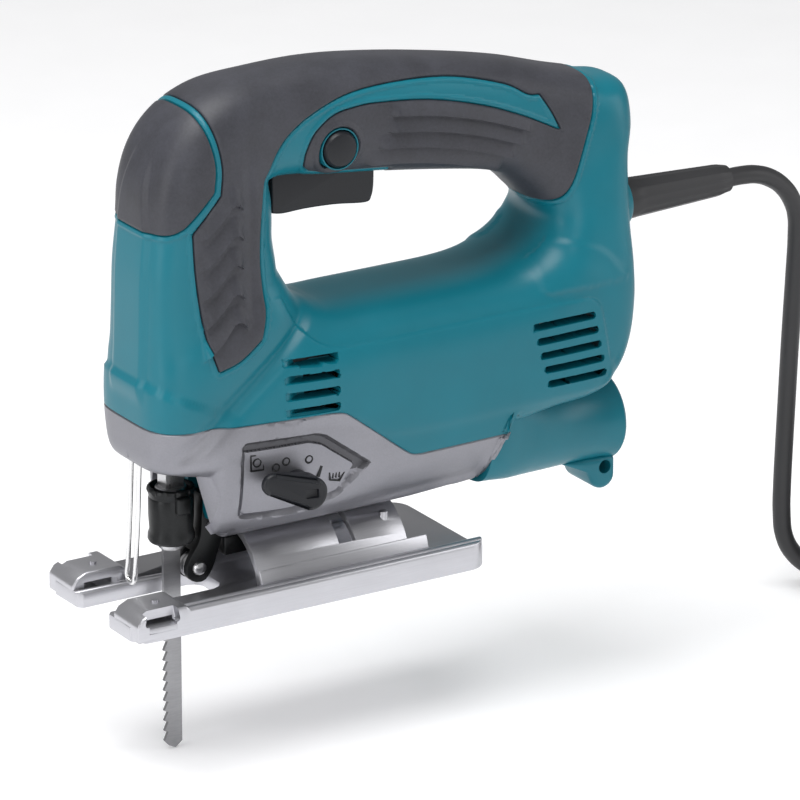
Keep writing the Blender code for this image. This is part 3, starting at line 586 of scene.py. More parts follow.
def distance(outline, margin=6.0):
    """A function that gives, for points (x, y, z), how far inside the outline each is, seen from the side."""
    start = np.asarray(outline, float)
    end = np.roll(start, -1, 0)
    way = end - start
    size = (way**2).sum(1)
    low, high = start.min(0) - margin, start.max(0) + margin

    def field(points):
        flat = points[:, [0, 2]]
        result = np.full(len(flat), -margin)
        near = np.flatnonzero(((flat > low) & (flat < high)).all(1))
        for part in np.array_split(near, max(1, len(near) // 4000)):
            p = flat[part][:, None, :] - start[None]
            t = np.clip((p * way).sum(2) / size, 0, 1)
            gap = np.sqrt((((p - t[..., None] * way) ** 2).sum(2)).min(1))
            a, b = start[None, :, 1] > flat[part][:, 1:2], end[None, :, 1] > flat[part][:, 1:2]
            with np.errstate(divide="ignore", invalid="ignore"):
                cross = start[:, 0] + (flat[part][:, 1:2] - start[:, 1]) / way[:, 1] * way[:, 0]
            inside = ((a != b) & (flat[part][:, :1] < cross)).sum(1) % 2 == 1
            result[part] = np.where(inside, gap, -gap)
        return result

    return field


def places(bm):
    return np.array([v.co for v in bm.verts], float)


def cut_line(bm, field, level=0.0, where=None):
    """Adds an edge along the line where the field is at this level."""
    points = places(bm)
    values = field(points) - level
    if where is not None:
        values[~where(points)] = -50
    values[np.abs(values) < 0.03] = 0
    bm.verts.ensure_lookup_table()
    bm.verts.index_update()
    on = {bm.verts[i] for i in np.flatnonzero(values == 0)}
    ends = np.array([(e.verts[0].index, e.verts[1].index) for e in bm.edges])
    crossed = np.flatnonzero((values[ends[:, 0]] * values[ends[:, 1]] < 0)
                             & (np.abs(values[ends]).max(1) < 40))
    bm.edges.ensure_lookup_table()
    for edge in [bm.edges[i] for i in crossed]:
        a, b = edge.verts
        share = values[a.index] / (values[a.index] - values[b.index])
        on.add(bmesh.utils.edge_split(edge, a, share)[1])
    for face in {f for v in on for f in v.link_faces}:
        hits = [v for v in face.verts if v in on]
        if len(hits) == 2:
            a, b = hits
            if not any(b in e.verts for e in a.link_edges if face in e.link_faces):
                bmesh.utils.face_split(face, a, b)


# %% where each material is
GRIP = flowing(
    [(-39, 230), (-39, 206)], [(-39, 206), (-35.5, 192), (-33.5, 180), (-34.5, 169.5)], [(-34.5, 169.5), (-47, 156)],
    [(-47, 156), (-46, 138), (-43, 116), (-38.5, 100.5)], [(-38.5, 100.5), (-29, 103.5), (-19, 110.5)],
    [(-19, 110.5), (-16.5, 122), (-17, 140), (-16, 158), (-13, 172), (-6, 183.5), (4, 191), (14, 195)],
    [(14, 195), (2, 184)], [(2, 184), (1, 172)], [(1, 172), (3, 150)], [(3, 150), (8, 140)], [(8, 140), (30, 120)],
    [(30, 120), (100, 136)],
    [(100, 136), (106, 139.5), (113, 138.5), (120, 139.5), (125.5, 146), (131, 161), (136, 175), (140, 190),
     (141, 204)],
    [(141, 204), (141, 230)])
TONGUE = flowing(
    [(-12, 140), (46, 140)], [(46, 140), (47.5, 163.4)], [(47.5, 163.4), (44, 164.4), (18.6, 167.2), (9.5, 169.2)],
    [(9.5, 169.2), (6.4, 171.8), (5.7, 175.5), (6.4, 179.4), (9.8, 185.4), (17.6, 190.9), (26, 192.6), (38, 192.8),
     (62, 190), (85, 184), (104, 176.5), (121, 168)],
    [(121, 168), (117, 176), (112.5, 183.5)], [(112.5, 183.5), (107, 184.5), (97, 190), (74, 196.5), (49, 199),
                                              (26, 198.3), (9, 193.3), (-1, 187), (-10, 176.5), (-14.5, 160),
                                              (-12, 140)])
CAP = flowing([(-90, 155.5), (-62, 155.3)], [(-62, 155.3), (-55, 156.3), (-50, 158.6)], [(-50, 158.6), (-37.3, 171)],
              [(-37.3, 171), (-36.3, 181), (-38.3, 192), (-42, 206)], [(-42, 206), (-42, 230)],
              [(-42, 230), (-90, 230)])
ALLOY_EDGE = flowing([(-90, 10), (108, 10)], [(108, 10), (99, 48)], [(99, 48), (94.5, 52.2)],
                     [(94.5, 52.2), (70, 52), (50, 51.8)], [(50, 51.8), (46, 52.3), (42, 54.8)],
                     [(42, 54.8), (19, 72.6)],
                     [(19, 72.6), (14, 76), (8, 77)], [(8, 77), (-20, 77.2), (-44, 78), (-90, 79)])

grip_outline, tongue_outline = distance(GRIP), distance(TONGUE)
cap_outline, alloy_outline = distance(CAP), distance(ALLOY_EDGE)


def in_grip(points):
    return np.minimum(grip_outline(points), -tongue_outline(points))


REGION_FIELDS = [(in_grip, (-2.3, -1.8, -0.5, 0, 0.35, 0.9)), (cap_outline, (-2.3, -1.8, -0.5, 0, 0.35, 0.9)),
                 (alloy_outline, (-0.5, 0, 0.5))]
for field, levels in REGION_FIELDS:
    for level in levels:
        cut_line(skin, field, level)
print("regions are cut:", len(skin.verts), "points")

# %% [markdown]
# Relief is added the same way: a line is cut on each side of an edge, and the points between are lifted along the
# surface. Chevrons and ribs are saw-teeth, with a sharp lower lip that catches the light. Vents are sunk pockets
# whose deep ends are open.


# %% saw-tooth ridges: chevrons on the column and ribs on the handle
def above(line_x, line_z, slope):
    """How far above a bent line a point is; the line is given by its x and z values."""
    def field(points):
        return (points[:, 2] - np.interp(points[:, 0], line_x, line_z)) * slope
    return field


RIDGES = []  # field, first x, last x, how high, how wide, and how soon it fades at each end
CHEVRON_X = (-44.5, -36, -31.5, -29.3, -27.6, -25.5)
CHEVRON_Z = (-13.0, -6.0, -1.0, 0.0, -0.6, -3.0)
for peak in (165.0, 153.0, 141.2, 129.5, 118.2):
    RIDGES.append((above(CHEVRON_X, [peak + z for z in CHEVRON_Z], 0.8), -44.5, -25.0, 2.3, 6.4, 3.0))
RIB_X = np.linspace(30, 110, 30)
for first, last, high in ((43, 108, 186.3), (42, 105, 180.0), (38, 101, 173.8), (33, 97, 167.6)):
    falling = high - 0.10 * (RIB_X - 45) - 0.0027 * (RIB_X - 45) ** 2
    RIDGES.append((above(RIB_X, falling, 0.96), first, last, 1.9, 5.6, 4.0))


def on_side(first, last, field=None, near=9.0):
    """Points of the tool's two sides between two x values, and near a line if one is given."""
    def where(points):
        side = (np.abs(points[:, 1]) > 4) & (points[:, 0] > first - 1.5) & (points[:, 0] < last + 1.5)
        return side & (np.abs(field(points)) < near) if field else side
    return where


for field, first, last, _, wide, _ in RIDGES:
    for level in (0.0, 0.4, wide):
        cut_line(skin, field, level, on_side(first, last, field, wide + 1.8))


def ridge_lift(points):
    total = np.zeros(len(points))
    for field, first, last, high, wide, fade in RIDGES:
        up = field(points)
        tooth = np.clip(up / 0.4, 0, 1) * np.clip((wide - up) / (wide - 0.4), 0, 1)
        x = points[:, 0]
        ends = smooth_step(x, first, first + fade) * (1 - smooth_step(x, last - fade * 0.6, last))
        total += np.where(on_side(first, last)(points), tooth * ends * high, 0)
    return total


# %% vents, the button's well and the screws' wells
def bar(x0, x1, z, half, corner=0.5):
    """A long slot with rounded corners."""
    left, right, low, high = x0 + corner, x1 - corner, z - half + corner, z + half - corner
    return np.array(arc(right, high, corner, 90, 0, 4) + arc(right, low, corner, 0, -90, 4)
                    + arc(left, low, corner, -90, -180, 4) + arc(left, high, corner, 180, 90, 4))


# first x, last x, z, half height, corner, where the opening starts, and how long the ramp is
FRONT_VENTS = [(-11.0, 12.0, 99.0 - 6.5 * i, 1.7, 0.4, 0.0, 9.5) for i in range(4)]
REAR_VENTS = [(99.2 + 1.72 * i, 129.0 + 1.35 * i, 94.6 - 6.1 * i, 1.6, 1.2, 106.2 + 0.6 * i, 6.0)
              for i in range(5)]
VENTS = []  # outline's field, where the opening starts, where the ramp starts and how long the ramp is
for x0, x1, z, half, corner, opens, ramp in FRONT_VENTS + REAR_VENTS:
    VENTS.append((distance(bar(x0, x1, z, half, corner)), opens, x0, ramp))
BUTTON = (20.4, 177.5)
BUTTON_HOLE = 8.4
SCREWS = [(-24, 192), (60, 180), (147, 165), (146, 95), (-18, 138)]
button_well = distance(arc(*BUTTON, 8.9, 0, 350, 35))
screw_wells = [distance(arc(*at, 3.6, 0, 345, 23)) for at in SCREWS]

for field, opens, _, _ in VENTS:
    for level in (0.0, 0.3):
        cut_line(skin, field, level, lambda p: np.abs(p[:, 1]) > 20)
    cut_line(skin, lambda p, at=opens: p[:, 0] - at, 0.0, lambda p, f=field: (f(p) > -0.2) & (np.abs(p[:, 1]) > 20))
for level in (-2.6, -0.5, 0.0, 0.5):
    cut_line(skin, button_well, level, lambda p: p[:, 1] < -4)
for field in screw_wells:
    for level in (0.0, 0.3):
        cut_line(skin, field, level, lambda p: p[:, 1] > 4)


def sink_wells(points):
    """New points with the vents, the button's well and the screws' wells sunk straight in along Y."""
    made = points.copy()
    side = np.sign(points[:, 1])
    for field, _, start, ramp in VENTS:
        inside = field(points)
        deep = 6.0 * smooth_step(points[:, 0], start + 0.2, start + ramp) + 0.5
        made[:, 1] -= np.where((inside > 0.15) & (np.abs(points[:, 1]) > 20), side * deep, 0)
    inside = button_well(points)
    well = (points[:, 1] < -4)
    made[:, 1] += np.where(well & (inside > 0.15), 1.5, 0)
    for field in screw_wells:
        made[:, 1] = np.where((points[:, 1] > 4) & (field(points) > 0.15), 11.0, made[:, 1])
    return made


print("vents:", len(VENTS), "on each side")

# %% the side panel, its ledge and the creases
PANEL = flowing([(-8.5, 124), (-5.4, 117.4), (-1.1, 110.8), (4.5, 105), (13, 101.8), (30, 101.4), (124, 101.8)],
                [(124, 101.8), (129, 100.5), (132, 96), (134.3, 84), (137.5, 65.5)],
                [(137.5, 65.5), (134, 64), (110, 64.6), (60, 63.6), (40, 64.2), (30, 66.5)],
                [(30, 66.5), (22, 72.5), (10, 76), (-10, 77), (-45, 77)], [(-45, 77), (-45, 126)],
                [(-45, 126), (-8.5, 124)])
side_panel = distance(PANEL)
SHOULDER_LINE = flowing([(106, 124), (106, 104)], [(106, 104), (150, 104)], [(150, 104), (143, 111.6), (134.6, 119.8),
                                                                         (121.3, 124), (113, 124.2), (106, 124)])
rear_pad = distance(SHOULDER_LINE)
FLANK_X, FLANK_Z = (-40, -16, 0, 11, 25, 36, 45, 60, 95), (30, 35.5, 34, 36.5, 42.5, 47, 50.5, 51, 51)
flank = above(FLANK_X, FLANK_Z, -0.85)
for level in (-0.9, 0.0, 0.5):
    cut_line(skin, side_panel, level, lambda p: (np.abs(p[:, 1]) > 20) & (p[:, 0] > -12) & (p[:, 2] > 70))


def panel_lift(points):
    x, z = points[:, 0], points[:, 2]
    inside = side_panel(points)
    share = smooth_step(x, -24, 6)
    crisp = np.where(z > 76, smooth_step(inside, -0.9, 0.5), smooth_step(inside, -4.5, 1.0))
    pad = smooth_step(rear_pad(points), -1.5, 2.0) * 0.7 * (z > 106)
    return np.where(np.abs(points[:, 1]) > 16, crisp * share * 1.0 + pad, 0)


def flank_lift(points):
    """Below a sweeping line the alloy leans in towards the saddle."""
    under = smooth_step(flank(points), -1.0, 13.0)
    x, y, z = points.T
    along = (1 - smooth_step(x, behind(z) - 6, behind(z) - 1)) * smooth_step(x, -38, -30)
    return -1.5 * under * smooth_step(np.abs(y), 22, 26) * along


def soft_creases(points):
    """The column's vertical fold, the ledge round the nose and the bulge down the cap and the column's front."""
    x, y, z = points.T
    fold = -0.9 * np.exp(-(((x + 21.5) / 2.2) ** 2)) * smooth_step(z, 112, 124) * (1 - smooth_step(z, 172, 188))
    ledge = 1.2 * (1 - smooth_step(z - (92.0 - 0.48 * (x + 55)), -0.9, 0.9)) * smooth_step(-x, 26, 42)
    bulge = np.interp(z, [155, 190], [1.0, 0.45])
    raised = 1.5 * (1 - smooth_step(np.abs(y) / bulge, 9.0, 13.5)) * smooth_step(-x, 46, 56)
    raised *= smooth_step(z, 86, 94) * (1 - smooth_step(z, 172, 190))
    return np.where(np.abs(y) > 4, fold, 0) + ledge + raised


print("panel and creases are defined")

# %% the alloy's icon plate
BAND = flowing([(-30.0, 39.0), (-30.0, 69.0)], [(-30.0, 69.0), (-28.5, 70.8)], [(-28.5, 70.8), (2.0, 70.0)],
               [(2.0, 70.0), (6.0, 68.6)], [(6.0, 68.6), (27.0, 53.0)], [(27.0, 53.0), (22.5, 49.4)],
               [(22.5, 49.4), (13.0, 40.5)], [(13.0, 40.5), (-4, 36.5), (-26.0, 37.8)],
               [(-26.0, 37.8), (-30.0, 39.0)])
PLATE = flowing([(-28.4, 39.5), (-28.6, 66.6)], [(-28.6, 66.6), (-1.0, 66.3)], [(-1.0, 66.3), (4.5, 64.4)],
                [(4.5, 64.4), (19.6, 53.4)], [(19.6, 53.4), (13.0, 43.0)], [(13.0, 43.0), (-4, 39.0), (-28.4, 39.5)])
band, plate = distance(BAND), distance(PLATE)
for field, levels in ((band, (0.0, 1.6)), (plate, (-0.3, 0.3))):
    for level in levels:
        cut_line(skin, field, level, lambda p: p[:, 1] < -18)


def plate_lift(points):
    """A recess round the plate, and a flat plate that stands a little above its floor."""
    inside, on_plate = band(points), plate(points)
    sunk = -2.4 * smooth_step(inside, 0.0, 1.6)
    return np.where(points[:, 1] < -18, sunk + 1.2 * np.clip((on_plate + 0.3) / 0.6, 0, 1) * (inside > 0), 0)


print("icon plate:", len(PLATE), "outline points")

# %% the openings under the nose, for the blade clamp and its roller
CLAMP_MOUTH = (-45.2, 11.6)  # middle and half width, along X and Y


def mouth(points):
    """Positive in the hole that the clamp rises into, in the slot that the roller's arm swings in, and between the
    foot's two legs."""
    x, y, z = points.T
    wide = np.minimum(CLAMP_MOUTH[1] - np.abs(x - CLAMP_MOUTH[0]), 11.6 - np.abs(y))
    slot = np.minimum(np.minimum(x + 45, -14.5 - x), 6.6 - np.abs(y))
    between_legs = np.minimum(np.minimum(-31.0 - x, 18.5 - np.abs(y)), 56.0 - z)
    return np.maximum(np.maximum(wide, slot), between_legs)


cut_line(skin, mouth, 0.0, lambda p: (p[:, 2] < 66) & (p[:, 0] < -10) & (np.abs(p[:, 1]) < 22))
print("nose mouth is cut")

# %% [markdown]
# ### Lifting the points
# Where rubber meets plastic the rubber stands a little proud with a rounded lip, and every joint line is a fine
# V-groove. All the lifts are added up and the points are moved once, along the normals of the smooth surface.


# %% borders, then all the lifts together
def lip(inside, proud):
    """A groove at the line itself, rising inside it to a rounded lip of this height."""
    outside = np.interp(inside, [-2.3, -1.8, -0.6, 0], [0, 0.4, 0.4, -0.6])
    within = np.interp(inside, [0, 0.35, 0.9, 2.0], [-0.6, 0.55 * proud, proud, proud])
    return np.where(inside < 0, outside, within)


def border_lift(points):
    grip, cap, alloy = in_grip(points), cap_outline(points), alloy_outline(points)
    total = lip(np.maximum(grip, cap), 0.55)
    return total + np.where(np.abs(alloy) < 0.5, -0.5 * (1 - np.abs(alloy) / 0.5), 0)


skin.normal_update()
points = places(skin)
normals = np.array([v.normal for v in skin.verts], float)
lift = border_lift(points) + ridge_lift(points) + panel_lift(points) + plate_lift(points)
lift += flank_lift(points) + soft_creases(points)
rim = np.interp(button_well(points), [-2.6, -1.4, -0.6, 0.1], [0, 0.8, 0.9, 0.2]) * (points[:, 1] < -4)
lift += np.where(button_well(points) < 0.15, rim, 0)
alloy_side, grip_side, cap_side = alloy_outline(points), in_grip(points), cap_outline(points)
moved = sink_wells(points + normals * lift[:, None])
print("lifted points by", round(float(lift.min()), 2), "to", round(float(lift.max()), 2), "mm")

# %% the pieces of the body
PIECES = ("housing_left", "housing_right", "grip_left", "grip_right", "nose_cap", "gear_housing")


def piece_of(face):
    """The piece that a face of the body's surface belongs to, or None where there is an opening."""
    index = [v.index for v in face.verts]
    x, y, z = points[index].mean(0)
    middle = np.array([[x, y, z]])
    if z < 64 and -58 < x < -13 and abs(y) < 19 and mouth(middle)[0] > 0:
        return None
    if abs(y) > 18 and 60 < z < 108:
        for field, opens, _, _ in VENTS:
            if x > opens and field(middle)[0] > 0.2:
                return None
    side = "left" if y < 0 else "right"
    if max(alloy_side[index], key=abs) > 0 or (z < 50 and x < 97):
        return "gear_housing"
    if max(cap_side[index], key=abs) > 0:
        return "nose_cap"
    if y < 0 and math.hypot(x - BUTTON[0], z - BUTTON[1]) < BUTTON_HOLE:
        return None
    if max(grip_side[index], key=abs) > 0:
        return f"grip_{side}"
    return f"housing_{side}"


def body_pieces(bm, moved):
    """Splits the surface into its pieces, each a shell with a real wall."""
    faces = {name: [] for name in PIECES}
    for face in bm.faces:
        name = piece_of(face)
        if name:
            faces[name].append([v.index for v in face.verts])
    made = {}
    for name, loops in faces.items():
        used = sorted({i for loop in loops for i in loop})
        place = {old: new for new, old in enumerate(used)}
        mesh = bpy.data.meshes.new(name)
        mesh.from_pydata([tuple(p * MM) for p in moved[used]], [], [[place[i] for i in loop] for loop in loops])
        piece = placed(f"{name}_skin", mesh)
        only(piece)
        bpy.ops.object.mode_set(mode="EDIT")
        bpy.ops.mesh.select_all(action="DESELECT")
        bpy.ops.mesh.select_mode(type="FACE")
        bpy.ops.mesh.select_face_by_sides(number=4, type="GREATER")
        bpy.ops.mesh.quads_convert_to_tris(quad_method="BEAUTY", ngon_method="BEAUTY")
        bpy.ops.object.mode_set(mode="OBJECT")
        modify(piece, "SOLIDIFY", thickness=WALLS[name] * MM, offset=-1, use_rim=True)
        made[name] = piece
    return made


WALLS = {"housing_left": 2.2, "housing_right": 2.2, "grip_left": 1.5, "grip_right": 1.5, "nose_cap": 1.5,
         "gear_housing": 2.4}
body = body_pieces(skin, moved)
skin.free()
SKINS = {"housing": ("teal", TEAL), "grip": ("rubber", RUBBER), "nose": ("rubber", RUBBER), "gear": ("alloy", ALLOY)}
for name, piece in body.items():
    slot, finish = SKINS[name.split("_")[0]]
    finished(piece, "tool_body", slot, finish, name, angle=40)
# Painted shade: the upper strips of the recess round the icon plate get the darker copy of the alloy, where shadow
# falls.
recess = body["gear_housing"].data
recess.materials.append(SHADED.made)
middles = np.array([tuple(p.center) for p in recess.polygons]) / MM
painted_shade_band = (band(middles) > 0.1) & (plate(middles) < -0.1)
for i in np.flatnonzero(painted_shade_band & (middles[:, 1] < -18) & (middles[:, 2] > 51)):
    recess.polygons[i].material_index = 1

# %% the marks on the icon plate
def skin_y(x, z):
    """Where the left side of the casing is at this place."""
    apart = np.hypot(points[:, 0] - x, points[:, 2] - z) + 50 * (points[:, 1] > -18)
    return float(moved[np.argsort(apart)[:4], 1].mean())


for number, (x, z) in enumerate([(-14.8, 58.2), (-10.5, 60.0), (-0.6, 59.1)]):
    y = skin_y(x, z)
    cup = [(0.5, 0), (0.3, 0.8), (-0.2, 1.2), (-0.3, 1.5), (-0.1, 1.8), (0.8, 1.8), (0.8, 0)]
    dimple = turned(f"dimple_{number + 1}", "Y", (x, 0, z), [(y + deep, radius) for deep, radius in cup], 32)
    finished(dimple, "tool_body", "black_steel", BLACKED)


def flat_mark(name, line, *holes):
    """A thin mark standing 0.2 mm proud of the plate."""
    x, z = np.mean(line, 0)
    y = skin_y(x, z)
    mark = outline(name, "XZ", line, y - 0.2, y + 0.9)
    for hole in holes:
        cut(mark, outline("hole", "XZ", hole, y - 3, y + 3))
    return finished(mark, "tool_body", "black_steel", BLACKED)


def inset(line, share):
    middle = np.mean(line, 0)
    return [tuple(middle + (np.array(p) - middle) * share) for p in line]


SQUARE = [(-25.8, 65.0), (-19.8, 64.8), (-19.8, 57.9), (-25.6, 58.2)]
BOARD = [(8.3, 52.9), (16.7, 52.0), (13.5, 47.1), (8.9, 48.3)]
flat_mark("slash_mark", [(4.5, 55.7), (5.7, 55.4), (4.2, 50.8), (3.0, 51.1)])
flat_mark("square_mark", SQUARE, inset(SQUARE, 0.84))
flat_mark("turn_mark", arc(-22.8, 61.5, 1.9, 0, 330, 22), arc(-22.8, 61.5, 1.35, 0, 330, 22))
flat_mark("board_mark", BOARD, inset(BOARD, 0.8))
for number, x in enumerate((10.2, 11.6, 13.0)):
    flat_mark(f"grain_mark_{number + 1}", [(x, 51.2), (x + 0.5, 51.1), (x + 0.4, 48.9), (x - 0.1, 49.0)])
print("marks on the plate: 10")

# %% [markdown]
# ## The blade's drive
# The plunger, the guide, the blade and the gears keep the shapes that the CAD gave them. What else shows below the
# nose is made again with rounded edges: the tool-less clamp with its scalloped collar, and the roller behind the
# blade, carried between two black cheeks.

# %% the clamp's collar
PLUNGER_X = -44.5
sleeve = turned("clamp_collar", "Z", (PLUNGER_X, 0, 0), [
    (25.2, 6.7), (45.6, 6.7), (46.9, 7.4), (47.8, 8.3), (47.4, 9.2), (46.4, 9.5), (45.2, 9.0), (43.5, 8.6),
    (42.8, 8.9), (36.0, 8.9), (30.0, 8.5), (28.4, 9.1), (26.2, 9.2), (25.2, 8.6)], 72)
for k in range(12):
    angle = math.tau * (k + 0.5) / 12
    x, y = PLUNGER_X + 10.4 * math.cos(angle), 10.4 * math.sin(angle)
    cut(sleeve, drum("scallop", "Z", (x, y, 0), 43.6, 52, 1.5, 20))
tab = block("tab", (PLUNGER_X - 3, -10.9, 38.5), (PLUNGER_X + 3, -7.5, 45.5))
add(sleeve, rounded(tab, 0.9))
finished(rounded(sleeve, 0.25, 2, 40), "blade_clamp_sleeve", "black_steel", BLACKED, "clamp_sleeve")

# %% the clamp's core and the silver shoulder under it
core = turned("clamp_body", "Z", (PLUNGER_X, 0, 0), [
    (22.2, 0), (22.2, 4.6), (23.4, 5.6), (26, 6.2), (47.2, 6.2), (47.6, 5.8), (47.6, 0)], 64)
cut(core, block("blade_slot", (PLUNGER_X - 3.9, -0.95, 15), (PLUNGER_X + 3.9, 0.95, 41)))
finished(core, "reciprocating", "black_steel", STEEL, "clamp_core")

# %% the roller's holder: two cheeks and a block
HOLDER = (-28.5, 38.0)
ROLLER = (-35.0, 13.0)
px, pz = HOLDER
rx, rz = ROLLER
cheek = flowing([(px - 3.5, pz + 4), (px + 9, pz + 4)], [(px + 9, pz + 4), (px + 11, pz - 4)],
                [(px + 11, pz - 4), (px + 6, pz - 10), (rx + 9, rz + 6), (rx + 6.4, rz - 1), (rx + 3, rz - 5.6),
                 (rx - 1, rz - 6), (rx - 4.6, rz - 3.6), (rx - 5.4, rz + 1), (rx - 3, rz + 6), (px - 6, pz - 13),
                 (px - 5, pz - 2), (px - 3.5, pz + 4)], step=2.0)
holder = outline("holder_cheeks", "XZ", [tuple(p) for p in cheek], -4.9, 4.9)
rounded(holder, 0.7, 2, 35)
cut(holder, block("gap", (rx - 9, -2.2, rz - 9), (rx + 7.5, 2.2, rz + 7)))
arm = block("arm", (-24, -5.6, 16), (-8, 5.6, 23.5))
cut(arm, drum("arm_hollow", "X", (0, 0, 24.5), -30, 0, 3.2, 24))
add(holder, rounded(arm, 0.8))
finished(holder, "orbital_holder", "black_steel", BLACKED, "roller_holder")
roller = turned("roller_wheel", "Y", (rx, 0, rz), [
    (-2.0, 1.4), (2.0, 1.4), (2.0, 5.0), (1.7, 5.4), (0.6, 5.4), (0.4, 4.6), (-0.4, 4.6), (-0.6, 5.4), (-1.7, 5.4),
    (-2.0, 5.0)], 64)
finished(roller, "roller", "steel", STEEL, "guide_roller")
axle = turned("roller_axle", "Y", (rx, 0, rz), [
    (-6.6, 0), (-6.5, 1.6), (-6.1, 2.4), (-5.4, 2.8), (-4.9, 2.9), (-4.9, 1.2), (4.9, 1.2), (4.9, 2.6), (5.8, 2.4),
    (6.2, 0)], 40)
finished(axle, "orbital_holder", "steel", STEEL, "roller_pin")

# %% [markdown]
# ## The controls
# The orbital lever is a rounded grip that is tall over its pivot and low at its tip, the trigger is a scooped bar and
# the lock is a round button with a soft edge.

# %% the orbital lever
LEVER = (-6.5, 50.0)
LEVER_TURN = 162.0  # the way it points at rest, in degrees
LEVER_WAY = math.radians(LEVER_TURN)
lx, lz = LEVER
tip_x, tip_z = lx + 14.5 * math.cos(LEVER_WAY), lz + 14.5 * math.sin(LEVER_WAY)
grip_line = arc(lx, lz, 6.6, LEVER_TURN - 90, LEVER_TURN - 270, 20)
grip_line += arc(tip_x, tip_z, 4.6, LEVER_TURN + 90, LEVER_TURN - 90, 14)
lever = outline("lever_grip", "XZ", grip_line, -44.0, -34.0)
for vertex in lever.data.vertices:
    if vertex.co.y < -40 * MM:
        along = (vertex.co.x / MM - lx) * math.cos(LEVER_WAY) + (vertex.co.z / MM - lz) * math.sin(LEVER_WAY)
        vertex.co.y += 6.0 * MM * float(smooth_step(np.array(along), 3.0, 15.0))
rounded(lever, 1.7, 4, 40)
add(lever, drum("lever_hub", "Y", (lx, 0, lz), -35.0, -29.9, 5.9, 48))
well = block("well", (lx - 2.6, -46, lz - 1.8), (lx + 2.6, -41.5, lz + 1.8))
cut(lever, rounded(well, 0.4, 2))
finished(lever, "orbital_selector", "black", BLACK, "orbital_lever")

# %% the trigger
TRIGGER = flowing([(-3.2, 170.8), (-3.2, 152.4)],
                  [(-3.2, 152.4), (2, 151.6), (12, 151.8), (25, 151.2), (37, 149.7), (41, 149.8)],
                  [(41, 149.8), (42.4, 154), (42.8, 160), (42.8, 170.8)], [(42.8, 170.8), (-3.2, 170.8)])
trigger = outline("trigger_bar", "XZ", [tuple(p) for p in TRIGGER], -8.2, 8.2)
finished(rounded(trigger, 1.3, 4, 50), "trigger_switch", "rubber", BLACK, "trigger")

# %% the lock button
bx, bz = BUTTON
button = turned("lock_knob", "Y", (bx, 0, bz), [
    (-21.2, 0), (-21.2, 5.2), (-20.9, 6.3), (-20.1, 7.0), (-19.0, 7.3), (-13, 7.3), (-13, 0)], 64)
finished(button, "lock_on_button", "black", BLACK, "lock_button")
ring = turned("button_ring", "Y", (bx, 0, bz), [
    (-18.9, 7.6), (-19.5, 7.8), (-19.5, 8.25), (-18.9, 8.4), (-14, 8.4), (-14, 7.6)], 64)
finished(ring, "tool_body", "teal", TEAL)

# %% painted shade: black sheets behind the front vents, standing for the shadow inside them
for side in (-1, 1):
    near, far = sorted((side * 23.2, side * 24.6))
    shade_sheet = block(f"vent_shade_sheet_{side + 2}", (-6, near, 77.5), (14.5, far, 104.5))
    finished(rounded(shade_sheet, 0.4), "tool_body", "black", BLACK)

# %% [markdown]
# ## The base and its saddle
# The base is a pressed and machined plate: a deck with the blade's slot, a ribbed rail that stiffens its left side
# (the right-hand rail is still missing), and two feet in front with windows for a rule. The curved saddle on the deck
# is what the foot of the tool tilts on.

# %% the deck
DECK_TOP = 7.0
BASE_HALF = 35.0
slot_half = 10.5
side_line = [(-27, slot_half - 4), (-29, slot_half - 1.2), (-32, slot_half), (-78, slot_half), (-79.6, slot_half + 2),
             (-79.8, BASE_HALF - 6), (-76, BASE_HALF - 0.6), (-70, BASE_HALF - 0.2)]
side_line += arc(70.5, BASE_HALF - 9.5, 9.3, 90, 0, 8)
deck_line = side_line + [(x, -y) for x, y in side_line[::-1]]
deck = outline("deck", "XY", deck_line, 0.0, DECK_TOP - 1.2)
cut(deck, block("bolt_window", (13, -9, -5), (31, 9, 12)))
rounded(deck, 0.5, 2, 40)
RAIL = ([(-34.85, 1.0), (-34.4, 0.3), (-26, 0.3), (-24.5, 5.6), (-25.8, 7.4)] + arc(-27.6, 8.6, 1.6, 20, 150, 6)
        + arc(-30.2, 9.3, 1.1, -40, -150, 5) + arc(-33.0, 9.2, 1.8, 50, 175, 6))
for side in (1, -1):
    # RAIL is the left rail's section and isn't mirrored, so nothing of it is left in the right-hand corner
    rail = outline("rail", "YZ", RAIL, -59, 79.4)
    corner = outline("corner", "XY", [(-60, side * -20), (-60, side * -36), (70.5, side * -36)]
                     + [(x, -side * y) for x, y in arc(70.5, BASE_HALF - 9.5, 9.4, 88, 0, 8)]
                     + [(79.9, side * -20)], -2, 14)
    cut(rail, corner, operation="INTERSECT")
    add(deck, rounded(rail, 0.35, 2, 45))
    ys = sorted((-side * 15.7, -side * 34.9))
    foot = outline("foot", "XZ", [(-79.6, 0.6), (-56, 0.6), (-56, 10.4), (-58, 12), (-73.5, 12), (-77.5, 10.2),
                                  (-79.6, 7.4)], *ys)
    rounded(foot, 0.9, 3, 30)
    window = block("window", (-74.6, -60, 3.6), (-62.4, 60, 8.2))
    add(deck, cut(foot, window))
    pad = outline("pad", "XZ", [(-75.4, 12.4), (-62, 12.4), (-61, 7.6), (-61.6, 6.6), (-75.8, 6.6), (-76.4, 7.6)],
                  *sorted((-side * 31.0, -side * 38)))
    cut(deck, rounded(pad, 0.5, 2))
    add(deck, drum("peg", "Z", (-66, -side * 24, 0), 11.5, 12.9, 1.5, 20))
for side in (1, -1):
    welt = [(26.0, 5.2)] + arc(0, TILT_Z, SADDLE_R + 0.4, 10, 26, 6) + arc(0, TILT_Z, SADDLE_R - 1.0, 26, 10, 6)
    strip = outline("welt", "YZ", [(side * y, z) for y, z in welt], -19.2, 56.8)
    add(deck, rounded(strip, 0.35, 2, 45))
finished(deck, "base", "alloy", PRESSED, "base_plate", angle=30)

